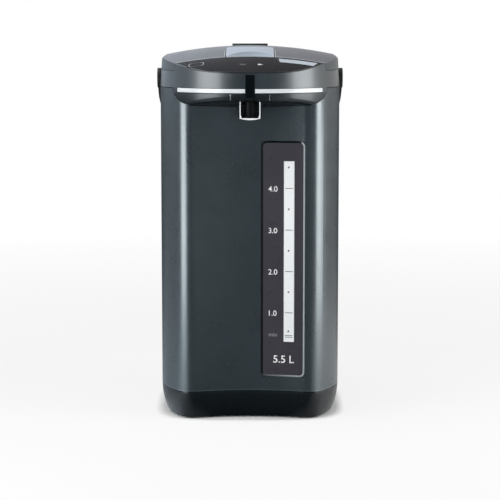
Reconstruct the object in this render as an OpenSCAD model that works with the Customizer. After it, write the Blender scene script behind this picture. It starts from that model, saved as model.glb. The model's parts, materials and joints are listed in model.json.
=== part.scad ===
// Electric thermo pot: a kettle that keeps water hot and pumps it out of a fixed spout.
// Z is up, the front faces -Y, and the origin is where the inner pot's axis meets the table.

/* [Body] */
// Outside width of the painted body
body_w = 196; // [192:0.5:202]
// Distance from the pot's axis forward to the centre of the front side arcs
front_lead = 33; // [31:0.5:35]
// Radius of the two upright front corners
corner_r = 19.25; // [18.75:0.25:19.75]
// Wall of the body sleeve, the head and the lid
wall = 2.4; // [2:0.1:2.8]

/* [Heights] */
// Height of the seam between base and body sleeve
base_h = 31; // [28:0.5:34]
// Height of the seam between body sleeve and head
seam_z = 359; // [356:0.5:362]
// Height of the deck round the mouth, where the lid's edge rests
deck_rise = 18; // [17:0.5:19]
// Height of the lid's crest above that seam
crest_rise = 44; // [43:0.5:46]

/* [Domed top] */
// Radius of the top across the width
dome_side_r = 450; // [400:10:500]
// Radius of the top's slope to the front
dome_front_r = 225; // [220:1:240]
// Radius of the top's fall to the back
dome_back_r = 2000; // [1500:50:3000]
// Distance of the crest ahead of the pot's axis
crest_lead = 17; // [15:0.5:19]
// Distance from the straight line between lid and control panel to the head's front
panel_depth = 45; // [44:0.25:46]
// Draft of the head's and lid's sides, in degrees
side_draft = 3.3; // [2.5:0.1:3.5]

/* [Chin and spout] */
// How far the chin's ends keep in from the body's sides
chin_margin = 15.6; // [14:0.2:17]
// Radius of the chin's lower corners seen from the front
chin_corner_r = 18; // [15:0.5:20]
// Height of the chin's underside below the seam, on the axis of the front arc
chin_drop = 31; // [30:0.5:32]
// Slope of the chin's underside, in degrees
chin_slope = 10.9; // [9:0.1:12]
// Radius of the chin's front edge
chin_edge_r = 9; // [7:0.5:11]
// Half width of the spout block in the chin's middle
block_half_w = 21; // [19:0.5:24]
// Distance of the nozzle's axis behind the head's front
nozzle_margin = 14; // [13:0.5:15]
// Outer radius of the nozzle
nozzle_r = 5.2; // [5:0.1:5.6]
// Bore radius of the nozzle
nozzle_bore_r = 3.3; // [2.5:0.1:3.5]
// Depth of the nozzle's mouth below the seam
nozzle_drop = 31.5; // [31:0.5:33]
// Outer width of the chrome trim round the nozzle
trim_w = 24.4; // [22:0.2:28]
// Width of the trim's bars
trim_bar = 2.4; // [2:0.1:3]
// Depth of the trim from front to back
trim_depth = 16; // [14:0.5:18]
// Height of the chrome strips
strip_h = 5.4; // [4.5:0.1:6]
// Half width of the gloss black column
spine_half_w = 4.6; // [4:0.1:6]
// How far the chrome strips end short of the chin's ends
strip_margin = 5.4; // [4.4:0.1:8]

/* [Control panel] */
// Gap between the panel's curved edge and the head's edge
panel_margin = 2.4; // [2:0.1:3.5]
// Thickness of the control panel
panel_t = 2; // [1.6:0.1:2.2]
// Distance of the dispense key in from the body's left side
key_margin = 41; // [39:0.5:44]
// Distance of the dispense key ahead of the line between lid and panel
key_ahead = 13; // [12.5:0.25:13.5]
// Depth of the dispense key's centre below the crest
key_drop = 20.5; // [20:0.1:21]
// Tilt of the dispense key, in degrees
key_tilt = 21; // [19:0.5:23]
// Radius of the dispense key's round ends
key_r = 5; // [4.5:0.1:5.3]
// Distance between the centres of the key's round ends
key_span = 7; // [5:0.5:8]
// Travel of the dispense key
key_travel = 1; // [0.8:0.1:1.2]
// Width of the display window
display_w = 42; // [38:0.5:44]
// Depth of the display window
display_d = 9; // [7:0.5:9.5]
// Place of the display window's inner end right of the middle plane
display_x = 30; // [28:0.5:31]

/* [Gauge] */
// Distance from the gauge panel's right edge to the axis of the front corner
gauge_margin = 3.9; // [3.65:0.05:4.4]
// Width of the gauge panel
gauge_w = 47.2; // [46.5:0.1:47.6]
// Height of the gauge panel
gauge_h = 256; // [250:1:262]
// Height of the gauge panel's lower edge above the table
gauge_z = 46.5; // [44:0.5:50]
// Middle of the level tube right of the gauge panel's middle
tube_shift = 6.4; // [6:0.1:6.8]
// Depth of the level tube's axis behind the hollow front
tube_depth = 8.5; // [8.3:0.1:8.7]
// Outer radius of the level tube
tube_r = 4.5; // [4.2:0.1:4.6]
// Bore radius of the level tube
tube_bore_r = 3.3; // [2.8:0.1:3.5]
// Width of the gauge's window
window_w = 11.3; // [10.5:0.1:11.8]
// Distance from the gauge panel's lower edge up to its window
window_foot = 38.5; // [33:0.5:43]
// Distance from the window up to the gauge panel's upper edge
window_head = 21.5; // [15:0.5:30]

/* [Inner pot] */
// Space between the inner pot and the body's outside
pot_space = 13; // [12.8:0.1:14]
// Thickness of the pot's sheet
sheet = 0.6; // [0.5:0.1:0.8]
// Height of the pot's floor above the table
floor_z = 72; // [71:0.5:73]
// Step from the pot's wall in to its neck
neck_step = 10.4; // [10:0.1:11]
// Radius between the pot's floor and wall
pot_floor_r = 8; // [6:0.5:10]

/* [Lid] */
// Distance of the lid's hinge axis in from the body's back
hinge_margin = 6; // [5.7:0.1:6.5]
// Height of the lid's hinge axis above the deck
hinge_rise = 10; // [9.6:0.1:10.4]
// Radius of the hinge pin
hinge_pin_r = 2; // [1.8:0.1:2.3]
// Half width of the hinge cover
cover_half_w = 20.5; // [20:0.5:23]
// Half width of the lid latch
latch_half_w = 25.5; // [23:0.5:28]
// Length of the lid latch from front to back
latch_l = 45; // [42:0.5:48]
// Thickness of the latch plate
latch_t = 3; // [2.5:0.1:3.5]
// Radius of the fingertip dish in the latch
dish_r = 150; // [130:5:170]
// Depth of the dish at its middle, which lies in front of the latch
dish_depth = 2.95; // [2.6:0.05:3.1]
// Radius of the latch pin
latch_pin_r = 1.5; // [1.3:0.1:1.8]

/* [Handle] */
// Height of the handle's pivot above the seam
pivot_rise = 8; // [7:0.5:9]
// Length of the straight stretch of the handle's arms beyond the pivots
arm_straight = 19; // [16:0.5:22]
// Distance between the centres of the handle's arm arc and grip arc
handle_span = 80; // [74:0.5:86]
// Thickness of the handle's arms
arm_t = 3.8; // [3.4:0.1:4]
// Height of the handle's arms
arm_h = 18; // [16:0.5:20]
// Thickness of the handle's grip
grip_t = 11; // [9:0.5:13]
// Radius of the ears round the pivots
ear_r = 11; // [10:0.5:12]
// Radius of the pivot pins
pivot_pin_r = 4; // [3.5:0.1:4.5]
// Angle of the folded handle below the horizontal
fold_angle = 36; // [35:0.5:38]

/* [Base and pump] */
// How far the base's foot draws in from the body's outline
base_draw = 6.5; // [5:0.5:8]
// Thickness of the base skirt
skirt_t = 3; // [2.6:0.1:3.4]
// Radius of the rubber feet
foot_r = 9; // [8:0.5:10]
// Height of the base's lower edge above the table
foot_h = 1.7; // [1.4:0.1:2.2]
// Thickness of the bottom cover
cover_t = 2.5; // [2.2:0.1:3]
// Distance of the pump's axis left of the level tube
pump_shift = 6.9; // [6.4:0.1:7.4]
// Distance of the pump's axis ahead of the pot's axis
pump_lead = 30; // [29:0.5:31]
// Outer radius of the pump housing
pump_r = 20; // [19:0.5:21]
// Height of the pump's outlet above the table
outlet_z = 42; // [41:0.5:43]
// Radius of the impeller
impeller_r = 14; // [12:0.5:15]

/* [Clearances] */
// Gap between neighbouring curved pieces
gap = 0.3; // [0.25:0.05:0.4]
// Running clearance round a pin, on the radius
running = 0.05; // [0.03:0.01:0.1]

/* [Hidden] */
$fn = 96;
far = 500;

// The arcs of the outline run into each other where they share a normal. These two have
// exact sides of 3, 4, 5 and 7, 24, 25, so that neighbouring arcs meet exactly.
side_normal = [0.8, -0.6];
hollow_normal = [-0.28, -0.96];

body_r = body_w / 2;
front_c = [0, -front_lead];
corner_c = front_c + (body_r - corner_r) * side_normal;
hollow_r = corner_c.x / 0.28 - corner_r;
hollow_c = corner_c + (hollow_r + corner_r) * hollow_normal;
front_wall = -hollow_c.y - hollow_r;

chin_half_w = body_r - chin_margin;
strip_half_w = chin_half_w - strip_margin;

deck_z = seam_z + deck_rise;
crest_z = seam_z + crest_rise;
head_front = front_lead + body_r;
panel_lead = head_front - panel_depth;
nozzle_lead = head_front - nozzle_margin;
key_x = body_r - key_margin;
key_lead = panel_lead + key_ahead;
draft_slope = tan(side_draft);
deck_t = 2.5;
lid_z = deck_z + 0.4;

mouth_z = deck_z + 2;
shoulder_z = seam_z - 9;
neck_z = seam_z + 5;
pot_r = body_r - pot_space;
neck_r = pot_r - neck_step;
mouth_ring_r = neck_r + 5.9;
neck_in_r = neck_r - sheet;
lining_z = mouth_z + 3.3;
plug_r = neck_in_r - 1.9;
plug_z = lining_z - 14.3;
vent_y = 40;

strip_z = seam_z + 0.4 - strip_h;
spine_low_z = seam_z - 9;
block_z = strip_z - 0.4;
block_t = 3;

hinge_back = body_r - hinge_margin;
hinge_z = deck_z + hinge_rise;
knuckle_r = 5;
lug_in = 9.7;
lug_out = 16.3;
dish_tilt = asin((panel_lead + 8.3 - crest_lead) / dome_front_r);
latch_pivot_lead = 46;
latch_pivot_z = deck_z + 15.5;
hook_half_w = 8;

pivot_z = seam_z + pivot_rise;
arm_out = body_r + 0.8 + arm_t;
// The arms and the grip share the normal [0.8432, 0.5376], whose sides are exact
bow_normal = [0.8432, 0.5376];
handle_bow = handle_span * bow_normal.x;
bow_r = arm_out + handle_bow;
grip_c = [0, arm_straight + handle_span * bow_normal.y];
grip_r = bow_r - handle_span;
grip_tip = grip_c + 100 * bow_normal;

board_z = seam_z + 10;
board_t = 1.6;
board_front = key_lead + 7;

skirt_r = pow(base_h - foot_h, 2) / (2 * base_draw) + base_draw / 2;
cover_inset = base_draw + skirt_t + gap;
ledge_z = foot_h + cover_t;
screw_inset = cover_inset + 3.7;

gauge_x = corner_c.x - gauge_margin - gauge_w / 2;
tube_x = gauge_x + tube_shift;
window_z = gauge_z + window_foot;
window_h = gauge_h - window_foot - window_head;
tube_lead = front_wall - tube_depth;
pump_x = tube_x - pump_shift;
hose_t = 1.8;
tube_low_z = base_h + 27;
tube_top_z = seam_z - 37;
pump_top_z = outlet_z + 8;
pump_low_z = outlet_z - 8;
motor_z = pump_low_z - 22;
stub_low_z = floor_z - sheet - 13.4;

inlet_z = base_h + 22;

function flip(v) = [-v.x, v.y];
function on_circle(r, angle) = [r * cos(angle), r * sin(angle)];

// Points outside the outline where its arcs change: side to corner, and corner to hollow front
side_tip = corner_c + 2 * corner_r * side_normal;
front_tip = corner_c + 2 * corner_r * hollow_normal;

// ---- shared outlines and forms ----

module half_disc(r) {
    intersection() {
        circle(r);
        translate([-r, 0]) square([2 * r, r]);
    }
}

// Round back, straight sides and round front
module oval_2d(r) {
    half_disc(r);
    translate([-r, -front_lead]) square([2 * r, front_lead]);
    translate(front_c) mirror([0, 1]) half_disc(r);
}

// The regions that the outline's arcs belong to
module side_region() {
    polygon([[-far, side_tip.y], flip(side_tip), flip(corner_c), corner_c,
        side_tip, [far, side_tip.y], [far, far], [-far, far]]);
}

module corner_region() {
    polygon([corner_c, front_tip, [side_tip.x, front_tip.y], side_tip]);
}

module front_region() {
    polygon([flip(front_tip), front_tip, corner_c, [0, -corner_r * 2], flip(corner_c)]);
}

// Outline of the body: oval with a hollow front between two rounded corners
module body_2d(inset) {
    intersection() {
        oval_2d(body_r - inset);
        side_region();
    }
    intersection() {
        translate(corner_c) circle(corner_r - inset);
        corner_region();
    }
    intersection() {
        translate(flip(corner_c)) circle(corner_r - inset);
        mirror([1, 0]) corner_region();
    }
    difference() {
        front_region();
        translate(hollow_c) circle(hollow_r + inset);
    }
}

// Sweeps a profile round the body's outline. The profile's x points outward from the
// outline and its y points up.
module around_body() {
    rotate_extrude(angle = 180) translate([body_r, 0]) children();
    for (side = [0, 1]) mirror([side, 0, 0]) {
        rotate([90, 0, 0]) linear_extrude(front_lead) translate([body_r, 0]) children();
        intersection() {
            translate(front_c) rotate_extrude(angle = -90) translate([body_r, 0]) children();
            linear_extrude(far) side_region();
        }
        intersection() {
            translate(corner_c) rotate_extrude() translate([corner_r, 0]) children();
            linear_extrude(far) corner_region();
        }
    }
    intersection() {
        translate(hollow_c) rotate_extrude(angle = 180)
            translate([hollow_r, 0]) mirror([1, 0]) children();
        linear_extrude(far) front_region();
    }
}

// Oval with drafted sides, from height z0 up to z1, measured in from the head's side
module head_form(inset, z0, z1) {
    r0 = body_r - inset - (z0 - seam_z) * draft_slope;
    r1 = body_r - inset - (z1 - seam_z) * draft_slope;
    translate([0, 0, z0]) {
        intersection() {
            cylinder(h = z1 - z0, r1 = r0, r2 = r1);
            translate([-far, 0, -1]) cube([2 * far, far, far]);
        }
        rotate([90, 0, 0]) linear_extrude(front_lead)
            polygon([[-r0, 0], [r0, 0], [r1, z1 - z0], [-r1, z1 - z0]]);
        translate([0, -front_lead, 0]) intersection() {
            cylinder(h = z1 - z0, r1 = r0, r2 = r1);
            translate([-far, -far, -1]) cube([2 * far, far, far]);
        }
    }
}

// All that lies under the domed top, sunk by depth. The long section of the top is swung
// across the width about a level axis far below it.
module dome_form(depth) {
    hub = dome_side_r;
    slope_r = dome_front_r - depth;
    back_r = dome_back_r - depth;
    translate([0, -crest_lead, crest_z - hub]) rotate([90, 0, 0])
        rotate(70) rotate_extrude(angle = 40, $fn = 360) {
            intersection() {
                translate([hub - dome_front_r, 0]) circle(slope_r, $fn = 360);
                translate([hub - 60, 0]) square([100, slope_r * 0.7]);
            }
            intersection() {
                translate([hub - dome_back_r, 0]) circle(back_r, $fn = 2400);
                translate([hub - 60, -140]) square([100, 140]);
            }
        }
}

module lid_side(lead) {
    translate([-far, -lead, 0]) cube([2 * far, 2 * far, 2 * far]);
}

module panel_side(lead) {
    translate([-far, -lead - 2 * far, 0]) cube([2 * far, 2 * far, 2 * far]);
}

// A puck that leans forward with a rounded lower edge, which runs into the upright front
module chin_puck(inset) {
    edge = chin_edge_r - inset;
    hub = (body_r - inset - edge * (1 - sin(chin_slope))) / cos(chin_slope) + 0.1;
    translate([0, -front_lead, seam_z - chin_drop]) rotate([-chin_slope, 0, 0])
        rotate_extrude() difference() {
            translate([0, inset]) square([hub + 30, 90]);
            translate([hub, inset]) difference() {
                square([31, edge * (1 - sin(chin_slope))]);
                translate([0, edge]) circle(edge);
            }
        }
}

// The chin's outline seen from the front
module chin_front_2d(grow) {
    half = chin_half_w - chin_corner_r;
    difference() {
        translate([-far / 2, seam_z - 50]) square([far, 50 + gap]);
        for (side = [0, 1]) mirror([side, 0]) difference() {
            translate([half, seam_z - 51]) square([far, 60]);
            translate([half, seam_z + 1]) circle(chin_corner_r + grow);
        }
    }
}

// The chin as a solid, in front of the body
module chin_form(inset) {
    intersection() {
        chin_puck(inset);
        translate([0, -front_lead, 0]) cylinder(h = far, r = body_r - inset);
        translate([0, -front_lead - 20, 0]) rotate([90, 0, 0])
            linear_extrude(far) chin_front_2d(-inset);
    }
}

// The space inside the sleeve below the seam
module sleeve_space() {
    linear_extrude(seam_z + gap) body_2d(wall + gap);
}

module front_bar(half_w, z0, z1, y0, y1) {
    translate([-half_w, -y1, z0]) cube([2 * half_w, y1 - y0, z1 - z0]);
}

module front_ring(r_in, r_out, z0, z1) {
    translate([0, -front_lead, z0]) difference() {
        cylinder(h = z1 - z0, r = r_out);
        translate([0, 0, -1]) cylinder(h = z1 - z0 + 2, r = r_in);
    }
}

module rounded_rect(w, h, r) {
    translate([r, 0]) square([w - 2 * r, h]);
    translate([0, r]) square([w, h - 2 * r]);
    for (x = [r, w - r], y = [r, h - r]) translate([x, y]) circle(r);
}

// A hose or pipe along straight runs joined by round elbows
module pipe_run(points, r) {
    for (i = [0 : len(points) - 2]) {
        run = points[i + 1] - points[i];
        tilt = acos(run.z / norm(run));
        turn = atan2(run.y, run.x);
        translate(points[i]) rotate([0, tilt, turn]) cylinder(h = norm(run), r = r);
        if (i > 0) translate(points[i]) sphere(r * 1.01);
    }
}

// ---- body and base ----

gauge_left = gauge_x - gauge_w / 2;

module gauge_hole(grow) {
    translate([0, -front_wall + 30, 0]) rotate([90, 0, 0]) linear_extrude(60)
        translate([gauge_left - grow, gauge_z - grow])
            rounded_rect(gauge_w + 2 * grow, gauge_h + 2 * grow, 3 + grow);
}

inlet_w = 30;
inlet_h = 22;

module body_sleeve() {
    color("#3d474e") difference() {
        translate([0, 0, base_h + gap]) linear_extrude(seam_z - base_h - 2 * gap) difference() {
            body_2d(0);
            body_2d(wall);
        }
        chin_form(-gap);
        gauge_hole(gap);
        translate([-inlet_w / 2 - gap, 60, inlet_z - inlet_h / 2 - gap])
            cube([inlet_w + 2 * gap, 60, inlet_h + 2 * gap]);
    }
}

screw_spots = [
    on_circle(body_r - screw_inset, 40),
    on_circle(body_r - screw_inset, 140),
    front_c + on_circle(body_r - screw_inset, -12),
    front_c + on_circle(body_r - screw_inset, 192)];

module at_screws() {
    for (spot = screw_spots) translate(spot) children();
}

module skirt_profile() {
    difference() {
        intersection() {
            translate([-skirt_r, base_h]) circle(skirt_r, $fn = 360);
            translate([-base_draw - skirt_t - 1, foot_h]) square([30, base_h - foot_h]);
        }
        translate([-skirt_r, base_h]) circle(skirt_r - skirt_t, $fn = 360);
    }
    translate([-wall - gap - 2, base_h - 5]) square([2, 10]);
    translate([-wall - gap - 1, base_h - 5]) square([wall, 5]);
    translate([-cover_inset - 7, ledge_z]) square([cover_inset, 2.3]);
}

module base_skirt() {
    color("#1d2528") difference() {
        union() {
            around_body() skirt_profile();
            at_screws() translate([0, 0, ledge_z]) cylinder(h = 12, r = 4);
        }
        at_screws() translate([0, 0, ledge_z - 1]) cylinder(h = 12, r = 1.5 + running);
    }
}

feet_spots = [
    [body_r - 38, 28.5 - front_wall], [38 - body_r, 28.5 - front_wall],
    [body_r - 60, body_r - 32], [60 - body_r, body_r - 32]];
board_spots = [[-60, -30], [-60, 20], [-18, 20], [-18, -30]];
power_board_z = ledge_z + 10;

module bottom_cover() {
    color("#1a1d1f") difference() {
        union() {
            translate([0, 0, foot_h]) linear_extrude(cover_t) body_2d(cover_inset);
            for (spot = board_spots) translate([spot.x, spot.y, ledge_z - 1])
                cylinder(h = power_board_z - ledge_z + 1, r = 2.5);
        }
        at_screws() {
            cylinder(h = foot_h + 1, r = 3.5);
            cylinder(h = 20, r = 1.5 + running);
        }
        for (spot = feet_spots) translate(spot) cylinder(h = 20, r = foot_r * 0.4 + running);
        for (i = [-4 : 4]) translate([-2 + 9 * i, 34, 0]) cube([4, 22, 20]);
    }
}

module rubber_feet() {
    color("#141414") for (spot = feet_spots) translate(spot) {
        cylinder(h = foot_h, r1 = foot_r - 0.6, r2 = foot_r);
        cylinder(h = foot_h + cover_t + 0.8, r = foot_r * 0.4);
    }
}

module cover_screws() {
    color("#8a8d90") at_screws() translate([0, 0, foot_h]) {
        translate([0, 0, 0.1]) cylinder(h = 0.9, r = 3.1);
        translate([0, 0, 0.1]) cylinder(h = 11, r = 1.5);
    }
}

module power_inlet() {
    depth = 17;
    out = body_r + 0.5;
    color("#101214") difference() {
        union() {
            translate([-inlet_w / 2, out - depth, inlet_z - inlet_h / 2])
                cube([inlet_w, depth, inlet_h]);
            intersection() {
                translate([-inlet_w / 2 - 2.5, 70, inlet_z - inlet_h / 2 - 2.5])
                    cube([inlet_w + 5, 40, inlet_h + 5]);
                difference() {
                    cylinder(h = far, r = body_r - wall - 0.1);
                    translate([0, 0, -1]) cylinder(h = far + 2, r = body_r - wall - 2.5);
                }
            }
        }
        translate([-inlet_w / 2 + 3, out - depth + 2, inlet_z - inlet_h / 2 + 3])
            cube([inlet_w - 6, depth, inlet_h - 6]);
    }
}

module inlet_pins() {
    color("#c9a95a") for (x = [-7, 0, 7]) translate([x - 1.2, body_r - 16.5, inlet_z - 2.5])
        translate([0, 2, x == 0 ? 2.5 : -1]) cube([2.4, 9, 5]);
}

// ---- head ----

key_c = [-key_x, -key_lead, crest_z - key_drop];

module key_axis() {
    translate(key_c) rotate([key_tilt, 0, 0]) children();
}

module key_2d(grow) {
    translate([-key_span / 2, -key_r - grow]) square([key_span, 2 * (key_r + grow)]);
    for (side = [-1, 1]) translate([side * key_span / 2, 0]) circle(key_r + grow);
}

module panel_lens(margin, lead) {
    intersection() {
        translate([0, -front_lead, seam_z + 5])
            cylinder(h = 100, r = body_r - (crest_rise - 20) * draft_slope - margin);
        panel_side(lead);
    }
}

pivot_boss_r = pivot_rise;

// The head from height z0 up: as high as the deck behind the panel's edge, and as high as
// the domed top ahead of it
module head_part(inset, z0, deck, depth) {
    intersection() {
        head_form(inset, z0, crest_z);
        union() {
            translate([-far, -far, 0]) cube([2 * far, 2 * far, deck]);
            intersection() {
                dome_form(depth);
                panel_side(panel_lead + gap + inset);
            }
        }
    }
}

module head_shell() {
    difference() {
        union() {
            head_part(0, seam_z + gap, deck_z, 0);
            chin_form(0);
        }
        sleeve_space();
        head_part(wall, seam_z - 1, deck_z - deck_t, panel_t + wall);
        chin_form(wall);
    }
}

module head_housing() {
    color("#4a5359") difference() {
        union() {
            head_shell();
            // lip that enters the sleeve, behind the chin's ends
            intersection() {
                translate([0, 0, seam_z - 5]) linear_extrude(6.5) difference() {
                    oval_2d(body_r - wall - gap);
                    oval_2d(body_r - wall - gap - 2);
                }
                translate([0, 0, seam_z - 30]) lid_side(front_lead + 20);
            }
            // lugs for the lid's hinge pin
            for (side = [0, 1]) mirror([side, 0, 0])
                translate([lug_in + gap, 0, 0]) rotate([90, 0, 90])
                    linear_extrude(lug_out - lug_in - 2 * gap) {
                        translate([hinge_back, hinge_z]) circle(knuckle_r);
                        translate([hinge_back - knuckle_r, deck_z - 2])
                            square([knuckle_r + 3, hinge_rise + 2]);
                    }
            // bosses for the handle's pivot pins
            for (side = [0, 1]) mirror([side, 0, 0])
                translate([body_r - 12, 0, pivot_z]) rotate([0, 90, 0])
                    cylinder(h = 12 + gap, r = pivot_boss_r);
            // posts that carry the control board
            for (side = [-1, 1]) intersection() {
                translate([side * 22, 7 - board_front, board_z + board_t]) cylinder(h = 30, r = 3);
                dome_form(panel_t + 1);
            }
        }
        // mouth
        translate([0, 0, deck_z - 10]) cylinder(h = 20, r = mouth_ring_r - 2.2);
        // slot for the latch hook
        front_bar(hook_half_w + 1, deck_z - 5, deck_z + 1, 70, hook_lead + 0.2);
        // bed of the control panel
        difference() {
            panel_lens(panel_margin - gap, panel_lead + gap + 1);
            dome_form(panel_t + gap);
        }
        // groove of the chrome strips and of the black column
        difference() {
            front_ring(body_r - 1.6, body_r + 5, strip_z - gap, strip_z + strip_h + gap);
            for (side = [0, 1]) mirror([side, 0, 0])
                translate([strip_half_w + gap, -far, 0]) cube([far, 2 * far, far]);
            lid_side(front_lead + 20);
        }
        intersection() {
            front_ring(body_r - 2.2, body_r + 5, spine_low_z, crest_z - 29);
            front_bar(spine_half_w + gap, 0, far, 60, far);
        }
        // place of the spout block
        front_bar(block_half_w + gap, 0, block_z + gap, 80, far);
        // key passage, pivot pins and hinge pin
        key_axis() linear_extrude(40, center = true) key_2d(1.5);
        for (side = [0, 1]) mirror([side, 0, 0])
            translate([body_r - 15, 0, pivot_z]) rotate([0, 90, 0])
                cylinder(h = 30, r = pivot_pin_r + running);
        translate([-30, hinge_back, hinge_z]) rotate([0, 90, 0])
            cylinder(h = 60, r = hinge_pin_r + running);
    }
}

module chrome_strips() {
    color("#e8ecee") difference() {
        front_ring(body_r - 1.6 + running, body_r + 0.6, strip_z, strip_z + strip_h);
        front_bar(spine_half_w + gap + 0.2, 0, far, 0, far);
        for (side = [0, 1]) mirror([side, 0, 0])
            translate([strip_half_w, -far, 0]) cube([far, 2 * far, far]);
        lid_side(front_lead + 20);
    }
}

module head_spine() {
    color("#0a0e10") intersection() {
        front_ring(body_r - 2.2 + running, body_r + 1.1, spine_low_z + gap, crest_z - 29 - gap);
        front_bar(spine_half_w, 0, far, 60, far);
    }
}

module spout_block() {
    color("#20272a") difference() {
        intersection() {
            chin_form(0);
            front_bar(block_half_w, 0, block_z, 60, far);
        }
        intersection() {
            chin_form(block_t);
            front_bar(block_half_w - block_t, 0, far, 60, far);
        }
        sleeve_space();
        intersection() {
            front_ring(body_r - 2.2, body_r + 5, spine_low_z, far);
            front_bar(spine_half_w + gap, 0, far, 60, far);
        }
        translate([0, -nozzle_lead, 0]) cylinder(h = far, r = nozzle_r + running);
    }
}

nozzle_z = seam_z - nozzle_drop;
collar_z = seam_z - chin_drop + (nozzle_lead - front_lead + nozzle_r + 2.4) * tan(chin_slope)
    + block_t / cos(chin_slope) + 0.1;

module spout_nozzle() {
    color("#080a0b") translate([0, -nozzle_lead, 0]) difference() {
        union() {
            translate([0, 0, nozzle_z]) cylinder(h = collar_z - nozzle_z, r = nozzle_r);
            translate([0, 0, collar_z]) cylinder(h = 1.6, r = nozzle_r + 2.4);
            translate([0, 0, collar_z]) cylinder(h = 9, r = tube_r);
        }
        translate([0, 0, nozzle_z - 1]) cylinder(h = 40, r = nozzle_bore_r);
    }
}

trim_front = nozzle_lead + trim_depth / 2;
trim_back = nozzle_lead - trim_depth / 2;

module trim_2d(half_w, low) {
    sag = 2;
    arc_r = (pow(half_w, 2) + pow(sag, 2)) / (2 * sag);
    translate([-half_w, low + sag]) square([2 * half_w, 60]);
    intersection() {
        translate([0, low + arc_r]) circle(arc_r);
        translate([-half_w, low]) square([2 * half_w, sag + 1]);
    }
}

// Flat top of the spout's trim, which meets the sloping underside of the spout block
module under_block() {
    intersection() {
        children();
        translate([0, -front_lead, seam_z - chin_drop]) rotate([-chin_slope, 0, 0])
            translate([-far, -far, -60]) cube([2 * far, 2 * far, 60]);
    }
}

module spout_trim() {
    half_w = trim_w / 2;
    color("#dfe3e4") difference() {
        under_block() translate([0, -trim_back, 0]) rotate([90, 0, 0])
            linear_extrude(trim_depth) difference() {
                trim_2d(half_w, nozzle_z - 1);
                trim_2d(half_w - trim_bar, nozzle_z - 1 + trim_bar);
            }
        translate([0, -nozzle_lead, 0]) cylinder(h = far, r = nozzle_r + gap);
    }
}

module spout_backplate() {
    color("#101315") under_block() translate([0, -trim_back, 0]) rotate([90, 0, 0])
        linear_extrude(2) trim_2d(trim_w / 2 - trim_bar - running, nozzle_z - 1 + trim_bar + running);
}

module control_panel() {
    color("#3f3c42") difference() {
        intersection() {
            panel_lens(panel_margin, panel_lead + gap + 1.2);
            dome_form(0);
        }
        dome_form(panel_t);
        key_axis() linear_extrude(40, center = true) key_2d(0.25);
        intersection() {
            display_well(0.2);
            difference() {
                translate([0, 0, seam_z]) cube([far, 2 * far, far], center = true);
                dome_form(panel_t - 0.9);
            }
        }
    }
}

module display_well(grow) {
    lead = panel_lead + gap + 3.4;
    slant = 5;
    translate([0, 0, seam_z]) linear_extrude(60) polygon([
        [display_x - slant - grow, -lead + grow],
        [display_x + display_w + grow, -lead + grow],
        [display_x + display_w - slant + grow, -lead - display_d - grow],
        [display_x - grow, -lead - display_d - grow]]);
}

module display_window() {
    color("#c9d3de") difference() {
        intersection() {
            display_well(0);
            dome_form(0);
        }
        dome_form(panel_t - 0.9);
    }
}

module dispense_key() {
    color("#4a474e") difference() {
        key_axis() translate([0, 0, -5]) {
            linear_extrude(30) key_2d(0);
            linear_extrude(1.5) key_2d(1.1);
        }
        difference() {
            translate([-key_x - 30, -key_lead - 40, seam_z]) cube([60, 80, 100]);
            dome_form(0);
        }
    }
}

module control_board() {
    color("#1f5a3a") {
        translate([-key_x - 1, -board_front, board_z]) cube([2 * key_x + 2, 14, board_t]);
        translate([-key_x + 3, 2 - board_front, board_z + board_t]) cube([8, 8, 3]);
        translate([display_x, 2 - board_front, board_z + board_t]) cube([24, 9, 4]);
        translate([-12, 2 - board_front, board_z + board_t]) cube([18, 9, 2]);
    }
}

// ---- gauge ----

module gauge_band(d0, d1) {
    translate(hollow_c) difference() {
        cylinder(h = far, r = hollow_r + d1, $fn = 720);
        translate([0, 0, -1]) cylinder(h = far + 2, r = hollow_r + d0, $fn = 720);
    }
}

module window_slot(grow) {
    translate([0, -front_wall + 30, 0]) rotate([90, 0, 0]) linear_extrude(60)
        translate([tube_x - window_w / 2 - grow, window_z - grow])
            square([window_w + 2 * grow, window_h + 2 * grow]);
}

module gauge_panel() {
    color("#3f3e43") difference() {
        union() {
            intersection() {
                gauge_band(0.8, wall + 1.2);
                gauge_hole(0);
            }
            intersection() {
                gauge_band(wall + 0.2, wall + 1.6);
                translate([0, -front_wall + 30, 0]) rotate([90, 0, 0]) linear_extrude(60)
                    translate([gauge_left - 4, gauge_z - 4]) square([gauge_w + 4, gauge_h + 8]);
            }
        }
        window_slot(0);
    }
}

module gauge_window() {
    color("#e6eef2", 0.5) intersection() {
        gauge_band(1.1, wall + 0.6);
        window_slot(-0.05);
    }
}

module level_tube() {
    color("#dfe9ee", 0.6) translate([tube_x, -tube_lead, tube_low_z]) difference() {
        cylinder(h = tube_top_z - tube_low_z, r = tube_r);
        translate([0, 0, -1]) cylinder(h = far, r = tube_bore_r);
    }
}

module scale_trough() {
    inside = tube_r + 0.7;
    outside = inside + 0.8;
    color("#f4f6f6") translate([0, 0, window_z - 3]) linear_extrude(window_h + 6) difference() {
        union() {
            translate([tube_x, -tube_lead]) half_disc(outside);
            translate([tube_x - outside, -tube_lead - 12]) square([2 * outside, 12]);
        }
        translate([tube_x, -tube_lead]) half_disc(inside);
        translate([tube_x - inside, -tube_lead - 13]) square([2 * inside, 13.1]);
        translate(hollow_c) circle(hollow_r + wall + 1.7, $fn = 720);
    }
}

// ---- inner pot ----

module pot_half_2d(inset) {
    r = pot_r - inset;
    neck = neck_r - inset;
    low = floor_z - sheet + inset;
    bend = pot_floor_r - inset;
    difference() {
        polygon([[0, low], [r, low], [r, shoulder_z], [neck, neck_z], [neck, mouth_z], [0, mouth_z]]);
        translate([r - bend, low]) difference() {
            square(bend);
            translate([0, bend]) circle(bend);
        }
    }
}

pump_c = [pump_x, -pump_lead];
stub_r = 6;

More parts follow.
